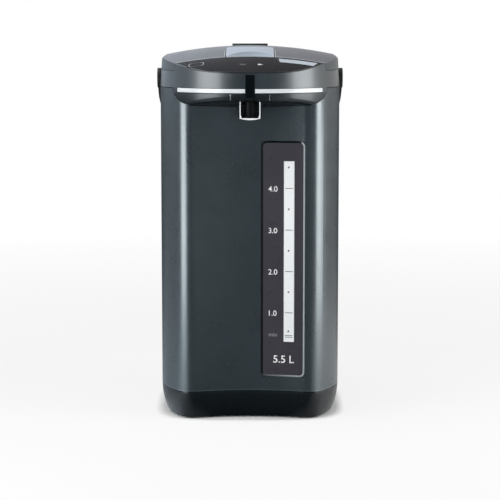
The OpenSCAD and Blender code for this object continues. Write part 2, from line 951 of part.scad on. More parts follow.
module inner_pot() {
    color("#c6cacb") difference() {
        union() {
            rotate_extrude() difference() {
                pot_half_2d(0);
                translate([0, 0.01]) pot_half_2d(sheet);
            }
            translate([0, 0, mouth_z - sheet]) difference() {
                cylinder(h = sheet, r = neck_r + 3.6);
                translate([0, 0, -1]) cylinder(h = 5, r = neck_in_r);
            }
            translate([pump_c.x, pump_c.y, stub_low_z])
                cylinder(h = floor_z - stub_low_z - sheet / 2, r = stub_r);
        }
        translate([pump_c.x, pump_c.y, stub_low_z - 1]) cylinder(h = 30, r = stub_r - 0.8);
    }
}

module mouth_ring() {
    color("#2a2e30") translate([0, 0, deck_z - 6]) difference() {
        union() {
            cylinder(h = mouth_z - sheet - deck_z + 6, r = mouth_ring_r - 2.5);
            translate([0, 0, 6]) cylinder(h = mouth_z - sheet - deck_z, r = mouth_ring_r);
        }
        translate([0, 0, -1]) cylinder(h = 20, r = neck_r + running);
    }
}

module outlet_strainer() {
    color("#aeb3b5") translate([pump_c.x, pump_c.y, floor_z + 0.02]) difference() {
        cylinder(h = 5, r1 = 12, r2 = 9);
        translate([0, 0, -0.8]) cylinder(h = 5, r1 = 11.4, r2 = 8.4);
        for (i = [0 : 5]) rotate(60 * i) translate([5, 0, 0]) cylinder(h = 20, r = 1.4);
        cylinder(h = 20, r = 1.4);
    }
}

module heater_plate() {
    color("#8f9395") difference() {
        union() {
            translate([0, 0, floor_z - sheet - 4]) cylinder(h = 4, r = pot_r - 25);
            for (side = [-1, 1]) translate([-40, side * 14 - 3, floor_z - sheet - 14])
                cube([1, 6, 12]);
        }
        translate([pump_c.x, pump_c.y, 0]) cylinder(h = far, r = stub_r + 3);
    }
}

module thermal_cutout() {
    color("#5c5f61") translate([0, 0, floor_z - sheet - 4]) mirror([0, 0, 1]) {
        cylinder(h = 7, r = 8);
        cylinder(h = 1, r = 11);
    }
}

module temperature_sensor() {
    color("#b08d3c") translate([-18, -24, floor_z - sheet - 4]) mirror([0, 0, 1]) {
        cylinder(h = 3, r = 4);
        cylinder(h = 9, r = 2.5);
    }
}

// ---- pump ----

chamber_r = impeller_r + 2;
outlet_run = [[tube_x, -pump_lead - 8, outlet_z], [tube_x, -pump_lead - pump_r - 8, outlet_z]];

module pump_housing() {
    color("#d8d8d2") difference() {
        union() {
            translate([pump_c.x, pump_c.y, pump_low_z]) {
                cylinder(h = pump_top_z - pump_low_z, r = pump_r);
                cylinder(h = pump_top_z - pump_low_z + 6, r = stub_r);
            }
            pipe_run(outlet_run, tube_r);
        }
        translate([pump_c.x, pump_c.y, pump_low_z + 3])
            cylinder(h = pump_top_z - pump_low_z - 6, r = chamber_r);
        translate([pump_c.x, pump_c.y, pump_top_z - 4]) cylinder(h = 20, r = stub_r - 1.5);
        translate([pump_c.x, pump_c.y, pump_low_z + 1]) cylinder(h = 5, r = 2 + running);
        translate([tube_x, -pump_lead - 12, outlet_z]) rotate([90, 0, 0])
            cylinder(h = 40, r = tube_bore_r);
    }
}

module impeller() {
    color("#e9e7df") translate([pump_c.x, pump_c.y, pump_low_z + 3.6]) difference() {
        union() {
            cylinder(h = 1.6, r = impeller_r);
            cylinder(h = 6, r = 4);
            for (i = [0 : 5]) rotate(60 * i) translate([3, -0.6, 0])
                cube([impeller_r - 4, 1.2, 6]);
        }
        translate([0, 0, -1]) cylinder(h = 20, r = 2 + running);
    }
}

module impeller_shaft() {
    color("#9a9ea0") translate([pump_c.x, pump_c.y, pump_low_z + 1]) cylinder(h = 10, r = 2);
}

module pump_motor() {
    color("#6a6e72") translate([pump_c.x, pump_c.y, motor_z])
        cylinder(h = pump_low_z - motor_z, r = pump_r - 3);
}

module pump_mount() {
    color("#202224") translate([pump_c.x, pump_c.y, ledge_z]) difference() {
        cylinder(h = motor_z - ledge_z + 5, r = pump_r - 1);
        translate([0, 0, motor_z - ledge_z]) cylinder(h = 20, r = pump_r - 3 + running);
        translate([0, 0, -1]) cylinder(h = 20, r = 8);
    }
}

module suction_hose() {
    color("#e4e2da") translate([pump_c.x, pump_c.y, pump_top_z + 0.2]) difference() {
        cylinder(h = stub_low_z - pump_top_z + 7, r = stub_r + hose_t);
        translate([0, 0, -1]) cylinder(h = 40, r = stub_r + running);
    }
}

module delivery_elbow() {
    start = outlet_run[1] + [0, 6, 0];
    route = [start, [tube_x, -tube_lead, outlet_z], [tube_x, -tube_lead, tube_low_z + 8]];
    color("#e4e2da") difference() {
        pipe_run(route, tube_r + hose_t);
        pipe_run([start + [0, 1, 0], route[1], route[2] + [0, 0, 1]], tube_r + running);
    }
}

module delivery_pipe() {
    top = seam_z + 2.5;
    route = [
        [tube_x, -tube_lead, tube_top_z - 8],
        [tube_x, -tube_lead, top],
        [0, -nozzle_lead, top],
        [0, -nozzle_lead, collar_z + 1.8]];
    color("#e4e2da") difference() {
        pipe_run(route, tube_r + hose_t);
        pipe_run([route[0] - [0, 0, 1], route[1], route[2], route[3] - [0, 0, 1]],
            tube_r + running);
    }
}

module power_board() {
    color("#2a5f3e") translate([0, 0, power_board_z]) {
        translate([-65, -35, 0]) cube([52, 60, board_t]);
        translate([-60, -20, board_t]) cube([18, 14, 16]);
        translate([-30, 5, board_t]) cylinder(h = 20, r = 6);
        translate([-58, 2, board_t]) cube([15, 12, 12]);
        translate([-34, -26, board_t]) cube([10, 20, 9]);
    }
}

// ---- lid ----

latch_front = panel_lead - gap;
latch_back = latch_front - latch_l;
hook_lead = latch_front;

module latch_outline(grow) {
    r = 6;
    half = latch_half_w + grow;
    translate([-half, -latch_front - grow]) square([2 * half, latch_l - r + grow]);
    translate([-half + r, -latch_back - r]) square([2 * (half - r), r + grow]);
    for (side = [-1, 1]) translate([side * (half - r), -latch_back - r + grow]) circle(r);
}

module lid_shell() {
    color("#8f8f99") difference() {
        intersection() {
            head_form(0, lid_z, crest_z);
            dome_form(0);
            lid_side(panel_lead - gap);
        }
        intersection() {
            head_form(wall, lid_z - 1, crest_z);
            dome_form(wall);
            lid_side(panel_lead - gap - wall);
        }
        linear_extrude(far) latch_outline(gap);
        front_bar(latch_half_w + gap, 0, far, 60, far);
        translate([-cover_half_w - gap, hinge_back - 13, 0]) cube([2 * (cover_half_w + gap), far, far]);
        translate([0, vent_y, 0]) cylinder(h = far, r = 13 + gap);
    }
    // ears that hold the latch pin
    color("#8f8f99") for (side = [0, 1]) mirror([side, 0, 0])
        intersection() {
            difference() {
                translate([latch_half_w + gap, -latch_pivot_lead - 5, lining_z + 2 + gap])
                    cube([3, 10, 40]);
                translate([0, -latch_pivot_lead, latch_pivot_z]) rotate([0, 90, 0])
                    cylinder(h = far, r = latch_pin_r + running);
            }
            dome_form(wall - 0.2);
        }
}

module lid_lining() {
    color("#d9dad8") difference() {
        union() {
            intersection() {
                head_form(wall + gap, lining_z, lining_z + 2);
                lid_side(hook_lead - 5);
            }
            translate([0, 0, plug_z]) cylinder(h = lining_z - plug_z + 1, r = plug_r);
        }
        translate([0, 0, plug_z + 2]) cylinder(h = far, r = plug_r - 2);
        translate([0, vent_y, 0]) cylinder(h = far, r = 6 + running);
        translate([-cover_half_w - gap, hinge_back - 13, 0]) cube([2 * (cover_half_w + gap), far, far]);
    }
}

module lid_gasket() {
    color("#e9e6dc") translate([0, 0, mouth_z + gap]) difference() {
        cylinder(h = lining_z - mouth_z - gap, r = neck_r + 3.4);
        translate([0, 0, -1]) cylinder(h = 20, r = plug_r + running);
    }
}

module steam_vent() {
    color("#3a3e42") difference() {
        union() {
            intersection() {
                translate([0, vent_y, lining_z + 3]) cylinder(h = 60, r = 13);
                difference() {
                    dome_form(0);
                    dome_form(wall + 0.4);
                }
            }
            intersection() {
                translate([0, vent_y, plug_z]) cylinder(h = 60, r = 6);
                dome_form(wall);
            }
        }
        intersection() {
            translate([0, vent_y, plug_z - 1]) cylinder(h = 60, r = 4);
            dome_form(wall + 0.4);
        }
        for (i = [-1 : 1]) translate([-7, vent_y - 0.7 + 3.4 * i, plug_z + 4]) cube([14, 1.4, 60]);
    }
}

module hinge_cover() {
    front = hinge_back - 13 + gap;
    color("#14171a") difference() {
        intersection() {
            head_form(gap, lid_z, crest_z + 3);
            translate([-cover_half_w, front, 0]) cube([2 * cover_half_w, far, far]);
            translate([-far, 0, 0]) rotate([90, 0, 90]) linear_extrude(2 * far) {
                translate([front, lid_z]) square([60, crest_z + 1 - 6 - lid_z]);
                translate([front + 4, lid_z]) square([9.5, crest_z + 1 - lid_z]);
                translate([front + 6, crest_z - 5]) circle(6);
                translate([front + 11.5, crest_z - 5]) circle(6);
            }
        }
        for (side = [0, 1]) mirror([side, 0, 0])
            translate([lug_in, hinge_back - knuckle_r - 0.6, 0])
                cube([lug_out - lug_in, far, hinge_z + knuckle_r + 0.6]);
        translate([-30, hinge_back, hinge_z]) rotate([0, 90, 0])
            cylinder(h = 60, r = hinge_pin_r + running);
        cylinder(h = mouth_z + gap, r = mouth_ring_r + gap);
        // round below the pin, so that it turns clear of the deck
        translate([-far, 0, 0]) rotate([90, 0, 90]) linear_extrude(2 * far) difference() {
            translate([hinge_back, lid_z - 1]) square([30, hinge_z - lid_z + 1]);
            translate([hinge_back, hinge_z]) circle(hinge_rise - gap);
        }
    }
}

module hinge_pin() {
    color("#b9bcbe") translate([-cover_half_w + 0.5, hinge_back, hinge_z]) rotate([0, 90, 0])
        cylinder(h = 2 * cover_half_w - 1, r = hinge_pin_r);
}

module lid_latch() {
    color("#c3ceda") difference() {
        union() {
            // plate that follows the lid's surface
            intersection() {
                linear_extrude(far) latch_outline(0);
                dome_form(-0.3);
                difference() {
                    translate([-far, -far, 0]) cube([2 * far, 2 * far, 2 * far]);
                    dome_form(latch_t);
                }
            }
            // front wall
            intersection() {
                front_bar(latch_half_w, lid_z + 2.2, crest_z, latch_front - 2, latch_front);
                dome_form(1);
            }
            // ribs down to the pivot
            for (x = [-18, 16]) intersection() {
                translate([x, -latch_pivot_lead - 4, latch_pivot_z - 3.5]) cube([2, 8, 40]);
                dome_form(1);
            }
        }
        translate([-far, -latch_pivot_lead, latch_pivot_z]) rotate([0, 90, 0])
            cylinder(h = 2 * far, r = latch_pin_r + running);
        // fingertip dish, sunk along the dome's normal
        translate([0, -crest_lead, crest_z - dome_front_r]) rotate([dish_tilt, 0, 0])
            translate([0, 0, dome_front_r + dish_r - dish_depth]) sphere(dish_r, $fn = 240);
    }
}

// Hook on the back of the latch's front wall: it passes the deck, and its lip lies under it
module latch_hook() {
    color("#c3ceda") {
        front_bar(hook_half_w, deck_z - 4, lid_z + 8, hook_lead - 4, hook_lead - 2);
        front_bar(hook_half_w, deck_z - 4, deck_z - 2.7, hook_lead - 3, hook_lead + 0.7);
    }
}

module latch_pin() {
    half = latch_half_w + 2.8;
    color("#b9bcbe") translate([-half, -latch_pivot_lead, latch_pivot_z]) rotate([0, 90, 0])
        cylinder(h = 2 * half, r = latch_pin_r);
}

// Flat steel spring: its foot stands on the lining and its tongue leans up under the latch
module latch_spring() {
    color("#a9adb0") translate([-6, 0, 0]) rotate([90, 0, 90]) linear_extrude(12) polygon([
        [-58, lining_z + 2], [-58, lining_z + 2.6], [-68, lining_z + 2.6],
        [-77, lining_z + 4.2], [-77, lining_z + 3.6], [-68, lining_z + 2]]);
}

// ---- handle ----

module handle_frame() {
    translate([0, 0, pivot_z]) rotate([-fold_angle, 0, 0]) children();
}

module bow_section(t, h) {
    translate([-t, -h / 2]) rounded_rect(t, h, 1.2);
}

module ring_piece(centre, r, t, h) {
    intersection() {
        translate(centre) rotate_extrude() translate([r, 0]) bow_section(t, h);
        translate([0, 0, -h]) linear_extrude(2 * h) children();
    }
}

module handle() {
    color("#0d0f10") handle_frame() difference() {
        union() {
            for (side = [0, 1]) mirror([side, 0, 0]) {
                translate([arm_out, arm_straight, 0]) rotate([90, 0, 0])
                    linear_extrude(arm_straight) bow_section(arm_t, arm_h);
                ring_piece([-handle_bow, arm_straight], bow_r, arm_t, arm_h)
                    polygon([grip_c, [0, arm_straight], [120, arm_straight], [120, grip_tip.y], grip_tip]);
                translate([arm_out - arm_t - 0.2, 0, 0]) rotate([0, 90, 0])
                    cylinder(h = arm_t + 0.6, r = ear_r);
            }
            ring_piece(grip_c, grip_r, arm_t, arm_h)
                polygon([grip_c, grip_tip, [grip_tip.x, 200], [-grip_tip.x, 200], flip(grip_tip)]);
            ring_piece(grip_c, grip_r + 1, grip_t, arm_h + 2)
                polygon([grip_c, [70, grip_c.y + 100], [-70, grip_c.y + 100]]);
        }
        for (side = [0, 1]) mirror([side, 0, 0])
            translate([body_r, 0, 0]) rotate([0, 90, 0]) {
                cylinder(h = 20, r = pivot_pin_r + running);
                translate([0, 0, arm_out - body_r - 1.2]) cylinder(h = 20, r = pivot_pin_r + 2.3);
            }
    }
}

module handle_pins() {
    color("#2b2e31") for (side = [0, 1]) mirror([side, 0, 0])
        translate([body_r - 11, 0, pivot_z]) rotate([0, 90, 0]) {
            cylinder(h = arm_out - body_r + 11 - 0.1, r = pivot_pin_r);
            translate([0, 0, arm_out - body_r + 11 - 1.1]) cylinder(h = 1, r = pivot_pin_r + 2);
        }
}

body_sleeve();
base_skirt();
bottom_cover();
rubber_feet();
cover_screws();
power_inlet();
inlet_pins();
head_housing();
chrome_strips();
head_spine();
spout_block();
spout_nozzle();
spout_trim();
spout_backplate();
control_panel();
display_window();
dispense_key();
control_board();
gauge_panel();
gauge_window();
level_tube();
scale_trough();
inner_pot();
mouth_ring();
outlet_strainer();
heater_plate();
thermal_cutout();
temperature_sensor();
pump_housing();
pump_motor();
pump_mount();
impeller();
impeller_shaft();
suction_hose();
delivery_elbow();
delivery_pipe();
power_board();
lid_shell();
lid_lining();
lid_gasket();
steam_vent();
hinge_cover();
hinge_pin();
lid_latch();
latch_hook();
latch_pin();
latch_spring();
handle();
handle_pins();
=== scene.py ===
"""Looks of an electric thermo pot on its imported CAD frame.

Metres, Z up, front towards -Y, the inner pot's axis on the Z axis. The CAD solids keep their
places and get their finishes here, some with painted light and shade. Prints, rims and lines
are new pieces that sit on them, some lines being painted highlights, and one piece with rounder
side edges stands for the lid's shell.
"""

import json
import math

import bpy
import numpy as np
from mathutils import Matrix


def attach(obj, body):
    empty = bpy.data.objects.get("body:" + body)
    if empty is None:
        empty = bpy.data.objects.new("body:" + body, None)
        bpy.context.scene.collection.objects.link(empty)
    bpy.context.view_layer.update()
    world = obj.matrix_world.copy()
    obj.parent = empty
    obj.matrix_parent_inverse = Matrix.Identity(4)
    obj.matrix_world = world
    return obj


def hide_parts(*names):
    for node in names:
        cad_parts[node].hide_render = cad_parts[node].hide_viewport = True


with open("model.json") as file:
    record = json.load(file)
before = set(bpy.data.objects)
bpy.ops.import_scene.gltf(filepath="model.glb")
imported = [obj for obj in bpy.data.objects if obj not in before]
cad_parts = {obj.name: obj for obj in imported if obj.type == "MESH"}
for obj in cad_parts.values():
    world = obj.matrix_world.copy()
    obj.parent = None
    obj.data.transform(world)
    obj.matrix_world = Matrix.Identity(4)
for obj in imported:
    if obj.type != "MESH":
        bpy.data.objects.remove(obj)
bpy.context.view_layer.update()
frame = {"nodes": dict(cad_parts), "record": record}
nodes = frame["nodes"]
MM = 0.001

# ---- measures of the pot, in millimetres -------------------------------------------------

# The domed top: its highest point, how far that lies ahead of the axis, and its three arcs.
CREST_Z = 403.0
CREST_LEAD = 17.0
DOME_SIDE_R = 450.0
DOME_FRONT_R = 225.0
DOME_BACK_R = 2000.0

# The hollow front: centre and radius of its circle.
HOLLOW_Y = -296.25
HOLLOW_R = 205.75

# The gauge: its film and rim, and how deep the film and the window lie behind the paint.
GAUGE_X = (11.9, 59.1)
GAUGE_Z = (46.5, 302.5)
GAUGE_CORNER = 5.0
RIM_HALF = 0.95
FILM_DEPTH = 0.8
WINDOW_DEPTH = 1.1

# The gauge's scale and prints.
TUBE_X = 41.9
LITRE_ZERO_Z = 72.0
LITRE = 44.97
LITRES = (1, 2, 3, 4)
NUMERAL_X = 24.6
NUMERAL_DROP = 0.7
LOW_TICKS_Z = (90.2, 92.0)
LOW_DROP_Z = 96.6
LOW_MARK = (24.8, 92.6)
VOLUME_MARK = (36.4, 65.8)

# The control panel: its oval key, the touch marks and the film over the head's front rim.
KEY_C = (-57.0, -99.0)
KEY_SPAN = 7.0
KEY_R = 5.0
WAVE_MARK = (-7.6, -107.0)
DROP_MARK = (10.6, -107.0)
PANEL_LEAD = 86.0
PANEL_HALF = 76.0
PANEL_TILT = math.radians(21)
SEAM_LEAD = PANEL_LEAD + 1.2
SEAM_HALF = PANEL_HALF + 4.5
RIM_Z = 375.2
RIM_RISE = 4.2
RIM_X = 62.7

# The arc of the lid's side edges, and how far the bars that cut them reach in x, y and z.
SHOULDER_X = 85.0
SHOULDER_Z = 383.2
SHOULDER_R = 12.2
BAR_REACH = (120.0, 140.0, 430.0)

# The chin, the strips under the head's band, the spout's trim and the base.
CHIN_TOP_Z = 353.5
CHIN_Z = 344.0
SPOUT_JOINT_X = 20.5
STRIP_Z = (354.0, 359.4)
TRIM_HALF = 12.2
TRIM_Z = 326.5
BASE_TOP_Z = 31.3

# The latch and the ball whose surface makes its dish. The ball stands on the dome's normal at
# DISH_LEAD ahead of the axis, and sinks DISH_DEPTH into the dome.
LATCH_HALF = 25.5
LATCH_LEAD = (46.0, 85.6)
GAP_LEAD = LATCH_LEAD[0] + 14.0
LIP_LEAD = 85.1
DISH_R = 150.0
DISH_LEAD = 94.3
DISH_DEPTH = 2.95
DISH_TILT = math.asin((DISH_LEAD - CREST_LEAD) / DOME_FRONT_R)
DISH_REACH = DOME_FRONT_R + DISH_R - DISH_DEPTH
DISH_C = (0.0, -CREST_LEAD - DISH_REACH * math.sin(DISH_TILT),
          CREST_Z - DOME_FRONT_R + DISH_REACH * math.cos(DISH_TILT))

# Seams of the CAD meshes are closed over this distance. Prints are this thick on each side of
# their middle, which lies this high over what carries them.
SEAM = 0.002
PRINT_HALF = 0.03
PRINT_LIFT = 0.05


def dome_z(x, y):
    """Height of the domed top over (x, y).

    Along the length the top is an arc ahead of the crest and a flatter one behind it. That
    section is swung across the width about a level axis one side radius below the crest.
    """
    ahead = -(y + CREST_LEAD)
    r = np.where(ahead > 0, DOME_FRONT_R, DOME_BACK_R)
    reach = DOME_SIDE_R - r + np.sqrt(r**2 - ahead**2)
    return CREST_Z - DOME_SIDE_R + np.sqrt(reach**2 - x**2)


def dome_normal(x, y):
    """Unit normal of the domed top, from the slopes of its height over a tenth of a millimetre."""
    d = 0.1
    dzdx = (dome_z(x + d, y) - dome_z(x - d, y)) / (2 * d)
    dzdy = (dome_z(x, y + d) - dome_z(x, y - d)) / (2 * d)
    n = np.stack([-dzdx, -dzdy, np.ones_like(dzdx)], axis=-1)
    return n / np.linalg.norm(n, axis=-1, keepdims=True)


def hollow_y(x, depth):
    """Y of the hollow front at x: a circle about a centre far ahead, depth behind the paint."""
    return HOLLOW_Y + np.sqrt((HOLLOW_R + depth) ** 2 - x**2)


def hollow_normal(x, depth):
    """Unit normal of the hollow front, which points from the surface to the circle's centre."""
    n = np.stack([-x, HOLLOW_Y - hollow_y(x, depth), np.zeros_like(x)], axis=-1)
    return n / np.linalg.norm(n, axis=-1, keepdims=True)


def latch_z(x, y):
    """Height of the latch's top: it stands a little over the dome and is sunk by its dish."""
    dish = DISH_C[2] - np.sqrt(DISH_R**2 - x**2 - (y - DISH_C[1]) ** 2)
    return np.minimum(dome_z(x, y) + 0.3, dish)


# ---- making pieces ------------------------------------------------------------------------


def new_piece(name, shape, material, body):
    """An object at the origin from points in millimetres and faces. It rides on a body."""
    points, faces = shape
    mesh = bpy.data.meshes.new(name)
    mesh.from_pydata(np.asarray(points, float) * MM, [], faces)
    mesh.validate()
    mesh.polygons.foreach_set("use_smooth", np.zeros(len(mesh.polygons), bool))
    mesh.materials.append(material)
    mesh.update()
    piece = bpy.data.objects.new(name, mesh)
    bpy.context.scene.collection.objects.link(piece)
    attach(piece, body)


def swept(path, normals, section, closed=False):
    """Points and faces of a section carried along a path.

    Each path point has a normal. The section's first number goes sideways, at right angles
    to the normal and the path, and its second number goes along the normal. Row i of the
    points lies at path point i, and each face joins two rows. An open path gets two ends.
    """
    along = np.roll(path, -1, 0) - np.roll(path, 1, 0) if closed else np.gradient(path, axis=0)
    side = np.cross(along, normals)
    side /= np.linalg.norm(side, axis=1, keepdims=True)
    section = np.asarray(section, float)
    points = (path[:, None] + side[:, None] * section[None, :, :1]
              + normals[:, None] * section[None, :, 1:])
    rows, cols = points.shape[:2]
    i, j = np.meshgrid(np.arange(rows if closed else rows - 1), np.arange(cols), indexing="ij")
    i, j = i.ravel(), j.ravel()
    i2, j2 = (i + 1) % rows, (j + 1) % cols
    faces = np.stack([i * cols + j, i2 * cols + j, i2 * cols + j2, i * cols + j2], 1).tolist()
    if not closed:
        faces += [list(range(cols))[::-1], [(rows - 1) * cols + k for k in range(cols)]]
    return points.reshape(-1, 3), [f[::-1] for f in faces]


def joined(parts):
    """Points and faces of several shapes as one."""
    points, faces, start = [], [], 0
    for p, f in parts:
        points.append(p)
        faces += [[k + start for k in face] for face in f]
        start += len(p)
    return np.concatenate(points), faces


def prism_faces(n):
    """Faces round a closed outline of n points and its copy, whose points follow it."""
    faces = [list(range(n)), list(range(2 * n - 1, n - 1, -1))]
    return faces + [[k, k + n, (k + 1) % n + n, (k + 1) % n] for k in range(n)]


def slab(outline):
    """Points and faces of a flat closed outline given the thickness of a print."""
    t = np.full((len(outline), 1), PRINT_HALF)
    return (np.concatenate([np.hstack([outline, t]), np.hstack([outline, -t])]),
            prism_faces(len(outline)))


def strap(width, low=-0.15, high=0.04):
    """Section of a flat line: a rectangle from low to high along the normal."""
    return [(-width / 2, low), (width / 2, low), (width / 2, high), (-width / 2, high)]


def stadium(span, r, count=24):
    """Closed path round a flat-sided oval: two half circles whose centres are span apart."""
    a = np.linspace(-math.pi / 2, math.pi / 2, count)
    right = np.stack([span / 2 + r * np.cos(a), r * np.sin(a)], 1)
    return np.concatenate([right, -right])


def rounded_frame(x, z, r):
    """Closed path round a rectangle, from its x and z limits, with quarter circles as corners."""
    a = np.linspace(0, math.pi / 2, 8)
    corners = [(x[1] - r, z[1] - r, 0), (x[0] + r, z[1] - r, 1),
               (x[0] + r, z[0] + r, 2), (x[1] - r, z[0] + r, 3)]
    return np.concatenate([np.stack([cx + r * np.cos(a + q * math.pi / 2),
                                     cz + r * np.sin(a + q * math.pi / 2)], 1)
                           for cx, cz, q in corners])


def divided(path, step):
    """A closed path whose sides are cut into equal shares no longer than step."""
    way = np.roll(path, -1, 0) - path
    cuts = np.maximum(1, np.ceil(np.linalg.norm(way, axis=1) / step)).astype(int)
    turn = np.arange(cuts.sum()) - np.repeat(np.cumsum(cuts) - cuts, cuts)
    share = turn / np.repeat(cuts, cuts)
    return np.repeat(path, cuts, 0) + np.repeat(way, cuts, 0) * share[:, None]


def turned(outline, angle):
    """A flat outline turned about the origin by an angle in degrees."""
    c, s = math.cos(math.radians(angle)), math.sin(math.radians(angle))
    return outline @ np.array([[c, s], [-s, c]])


def lettering(text, height, centre, weight):
    """Points (x, z, depth) and faces of plain numerals, centred, with the thickness of a print.

    A numeral is seven tenths as high as the size of its type.
    """
    curve = bpy.data.curves.new("lettering", "FONT")
    curve.body = text
    curve.size = height / 0.7
    curve.offset = weight
    curve.extrude = PRINT_HALF
    curve.resolution_u = 6
    holder = bpy.data.objects.new("lettering", curve)
    mesh = bpy.data.meshes.new_from_object(holder)
    points = np.empty(len(mesh.vertices) * 3)
    mesh.vertices.foreach_get("co", points)
    points = points.reshape(-1, 3)
    faces = [list(p.vertices) for p in mesh.polygons]
    bpy.data.objects.remove(holder)
    bpy.data.curves.remove(curve)
    bpy.data.meshes.remove(mesh)
    middle = (points[:, :2].max(0) + points[:, :2].min(0)) / 2
    points[:, :2] += np.asarray(centre) - middle
    return points, faces


def on_hollow(shape, depth):
    """A flat shape (x, z, thickness) laid on the hollow front, depth behind the paint."""
    x, z, t = shape[0].T
    lift = hollow_normal(x, depth) * (t[:, None] + PRINT_LIFT)
    return np.stack([x, hollow_y(x, depth), z], 1) + lift, shape[1]


def on_dome(shape):
    """A flat shape (x, y, thickness) laid on the domed top."""
    x, y, t = shape[0].T
    lift = dome_normal(x, y) * (t[:, None] + PRINT_LIFT)
    return np.stack([x, y, dome_z(x, y)], 1) + lift, shape[1]


# ---- finishes -----------------------------------------------------------------------------


def rgb(code):
    """Linear colour from a six-figure code of a display colour."""
    v = np.array([int(code[i:i + 2], 16) for i in (1, 3, 5)]) / 255
    return tuple(np.where(v <= 0.04045, v / 12.92, ((v + 0.055) / 1.055) ** 2.4)) + (1.0,)


class Finish:
    """A material with one Principled shader and a few helpers that add nodes to it."""

    def __init__(self, name, **sockets):
        self.material = bpy.data.materials.new(name)
        self.material.use_nodes = True
        self.tree = self.material.node_tree
        self.shader = self.tree.nodes["Principled BSDF"]
        self.coords = self.tree.nodes.new("ShaderNodeTexCoord")
        for socket, value in sockets.items():
            self.shader.inputs[socket.replace("_", " ")].default_value = value

    def node(self, kind, inputs=None, **settings):
        """A new node with its settings, and with its inputs set or linked."""
        made = self.tree.nodes.new("ShaderNode" + kind)
        for key, value in settings.items():
            setattr(made, key, value)
        for key, value in (inputs or {}).items():
            self.put(value, made.inputs[key])
        return made

    def put(self, value, socket):
        """Links a socket to another, or sets it to a plain value."""
        if isinstance(value, bpy.types.NodeSocket):
            self.tree.links.new(value, socket)
        else:
            socket.default_value = value

    def calc(self, operation, *values):
        """Result of a plain sum on sockets or numbers."""
        return self.node("Math", dict(enumerate(values)), operation=operation).outputs[0]

    def all_of(self, first, *masks):
        """The mask that holds where all the masks do: their product."""
        for mask in masks:
            first = self.calc("MULTIPLY", first, mask)
        return first

    def where(self, axis):
        """One coordinate of the object's own space, in millimetres."""
        place = self.node("SeparateXYZ", {0: self.coords.outputs["Object"]}).outputs[axis]
        return self.calc("DIVIDE", place, MM)

    def off(self, value, level):
        """How far a value is from a level, either way."""
        return self.calc("ABSOLUTE", self.calc("SUBTRACT", value, level))

    def noise(self, scale, detail=3.0, stretch=(1, 1, 1)):
        """Cloudy pattern in object space, in cells per metre, stretched along an axis if asked."""
        place = self.node("Mapping", {"Vector": self.coords.outputs["Object"], "Scale": stretch})
        cloud = {"Vector": place.outputs[0], "Scale": scale, "Detail": detail}
        return self.node("TexNoise", cloud).outputs["Fac"]

    def ramp(self, value, low, high, inside=(0.3, 0.7)):
        """Goes from low to high as the value crosses a range."""
        return self.node("MapRange", {"Value": value, "From Min": inside[0], "From Max": inside[1],
                                      "To Min": low, "To Max": high}).outputs["Result"]

    def blend(self, factor, a, b):
        """A colour between a and b."""
        made = self.node("Mix", data_type="RGBA")
        self.put(factor, made.inputs[0])
        self.put(a, made.inputs[6])
        self.put(b, made.inputs[7])
        return made.outputs[2]

    def clouds(self, scale, detail, code_a, code_b):
        """Two close tones in clouds."""
        return self.blend(self.ramp(self.noise(scale, detail), 0, 1), rgb(code_a), rgb(code_b))

    def colour(self, value, over=None):
        """Sets the colour. Over is a function that gives a mask, the colour outside and inside."""
        self.put(self.blend(*over(self, value)) if over else value,
                 self.shader.inputs["Base Color"])

    def roughness(self, value):
        """Sets the gloss from a pattern."""
        self.put(value, self.shader.inputs["Roughness"])

    def bump(self, height, distance):
        """A bump in metres over a height pattern."""
        made = self.node("Bump", {"Height": height, "Distance": distance, "Strength": 1.0})
        self.put(made.outputs[0], self.shader.inputs["Normal"])


def moulded(name, code_a, code_b, rough, grain, depth, over=None, **sockets):
    """Moulded plastic: two close tones in clouds, a fine spark grain and uneven gloss."""
    f = Finish(name, **sockets)
    f.colour(f.clouds(14, 4, code_a, code_b), over)
    f.roughness(f.ramp(f.noise(55, 5), *rough))
    f.bump(f.noise(grain, 3), depth)
    return f.material


def painted(name, code_a, code_b, rough, over=None, **sockets):
    """Metallic paint: clouds of two tones, tiny flakes whose slight paleness is a painted sparkle,
    and a slight orange peel.
    """
    f = Finish(name, **sockets)
    # Painted sparkle: random flakes lean a little towards a pale grey.
    flakes = f.node("TexVoronoi", {"Vector": f.coords.outputs["Object"], "Scale": 2600.0})
    spark = f.ramp(flakes.outputs["Color"], 0.0, 0.06, (0.55, 1.0))
    f.colour(f.blend(spark, f.clouds(9, 3, code_a, code_b), rgb("#a7afb5")), over)
    f.roughness(f.ramp(f.noise(40, 4), *rough))
    f.bump(f.noise(420, 2), 0.000008)
    return f.material


def brushed(name, code_a, code_b, along, rough):
    """Drawn or turned metal: long fine scratches along an axis, with uneven gloss."""
    f = Finish(name, Metallic=1.0)
    lines = f.noise(900, 3, along)
    f.colour(f.blend(f.ramp(lines, 0, 1), rgb(code_a), rgb(code_b)))
    f.roughness(f.ramp(lines, *rough))
    f.bump(lines, 0.000002)
    return f.material


def plated_painted_reflection(name, code_a, code_b, over):
    """Bright silver trim in a near-white, nearly even tone that is a painted reflection, with
    faint wipe marks in the gloss.
    """
    f = Finish(name, Metallic=0.05, Coat_Weight=0.2, Coat_Roughness=0.1)
    f.colour(f.clouds(30, 3, code_a, code_b), over)
    f.roughness(f.ramp(f.noise(160, 5, (1, 1, 6)), 0.2, 0.28))
    f.bump(f.noise(120, 2), 0.000004)
    return f.material


def clear(name, code):
    """Clear plastic with a faint tint and slight haze."""
    f = Finish(name, Transmission_Weight=1.0, IOR=1.45)
    f.colour(f.clouds(20, 2, code, "#ffffff"))
    f.roughness(f.ramp(f.noise(90, 4), 0.04, 0.1))
    f.bump(f.noise(60, 2), 0.000004)
    return f.material


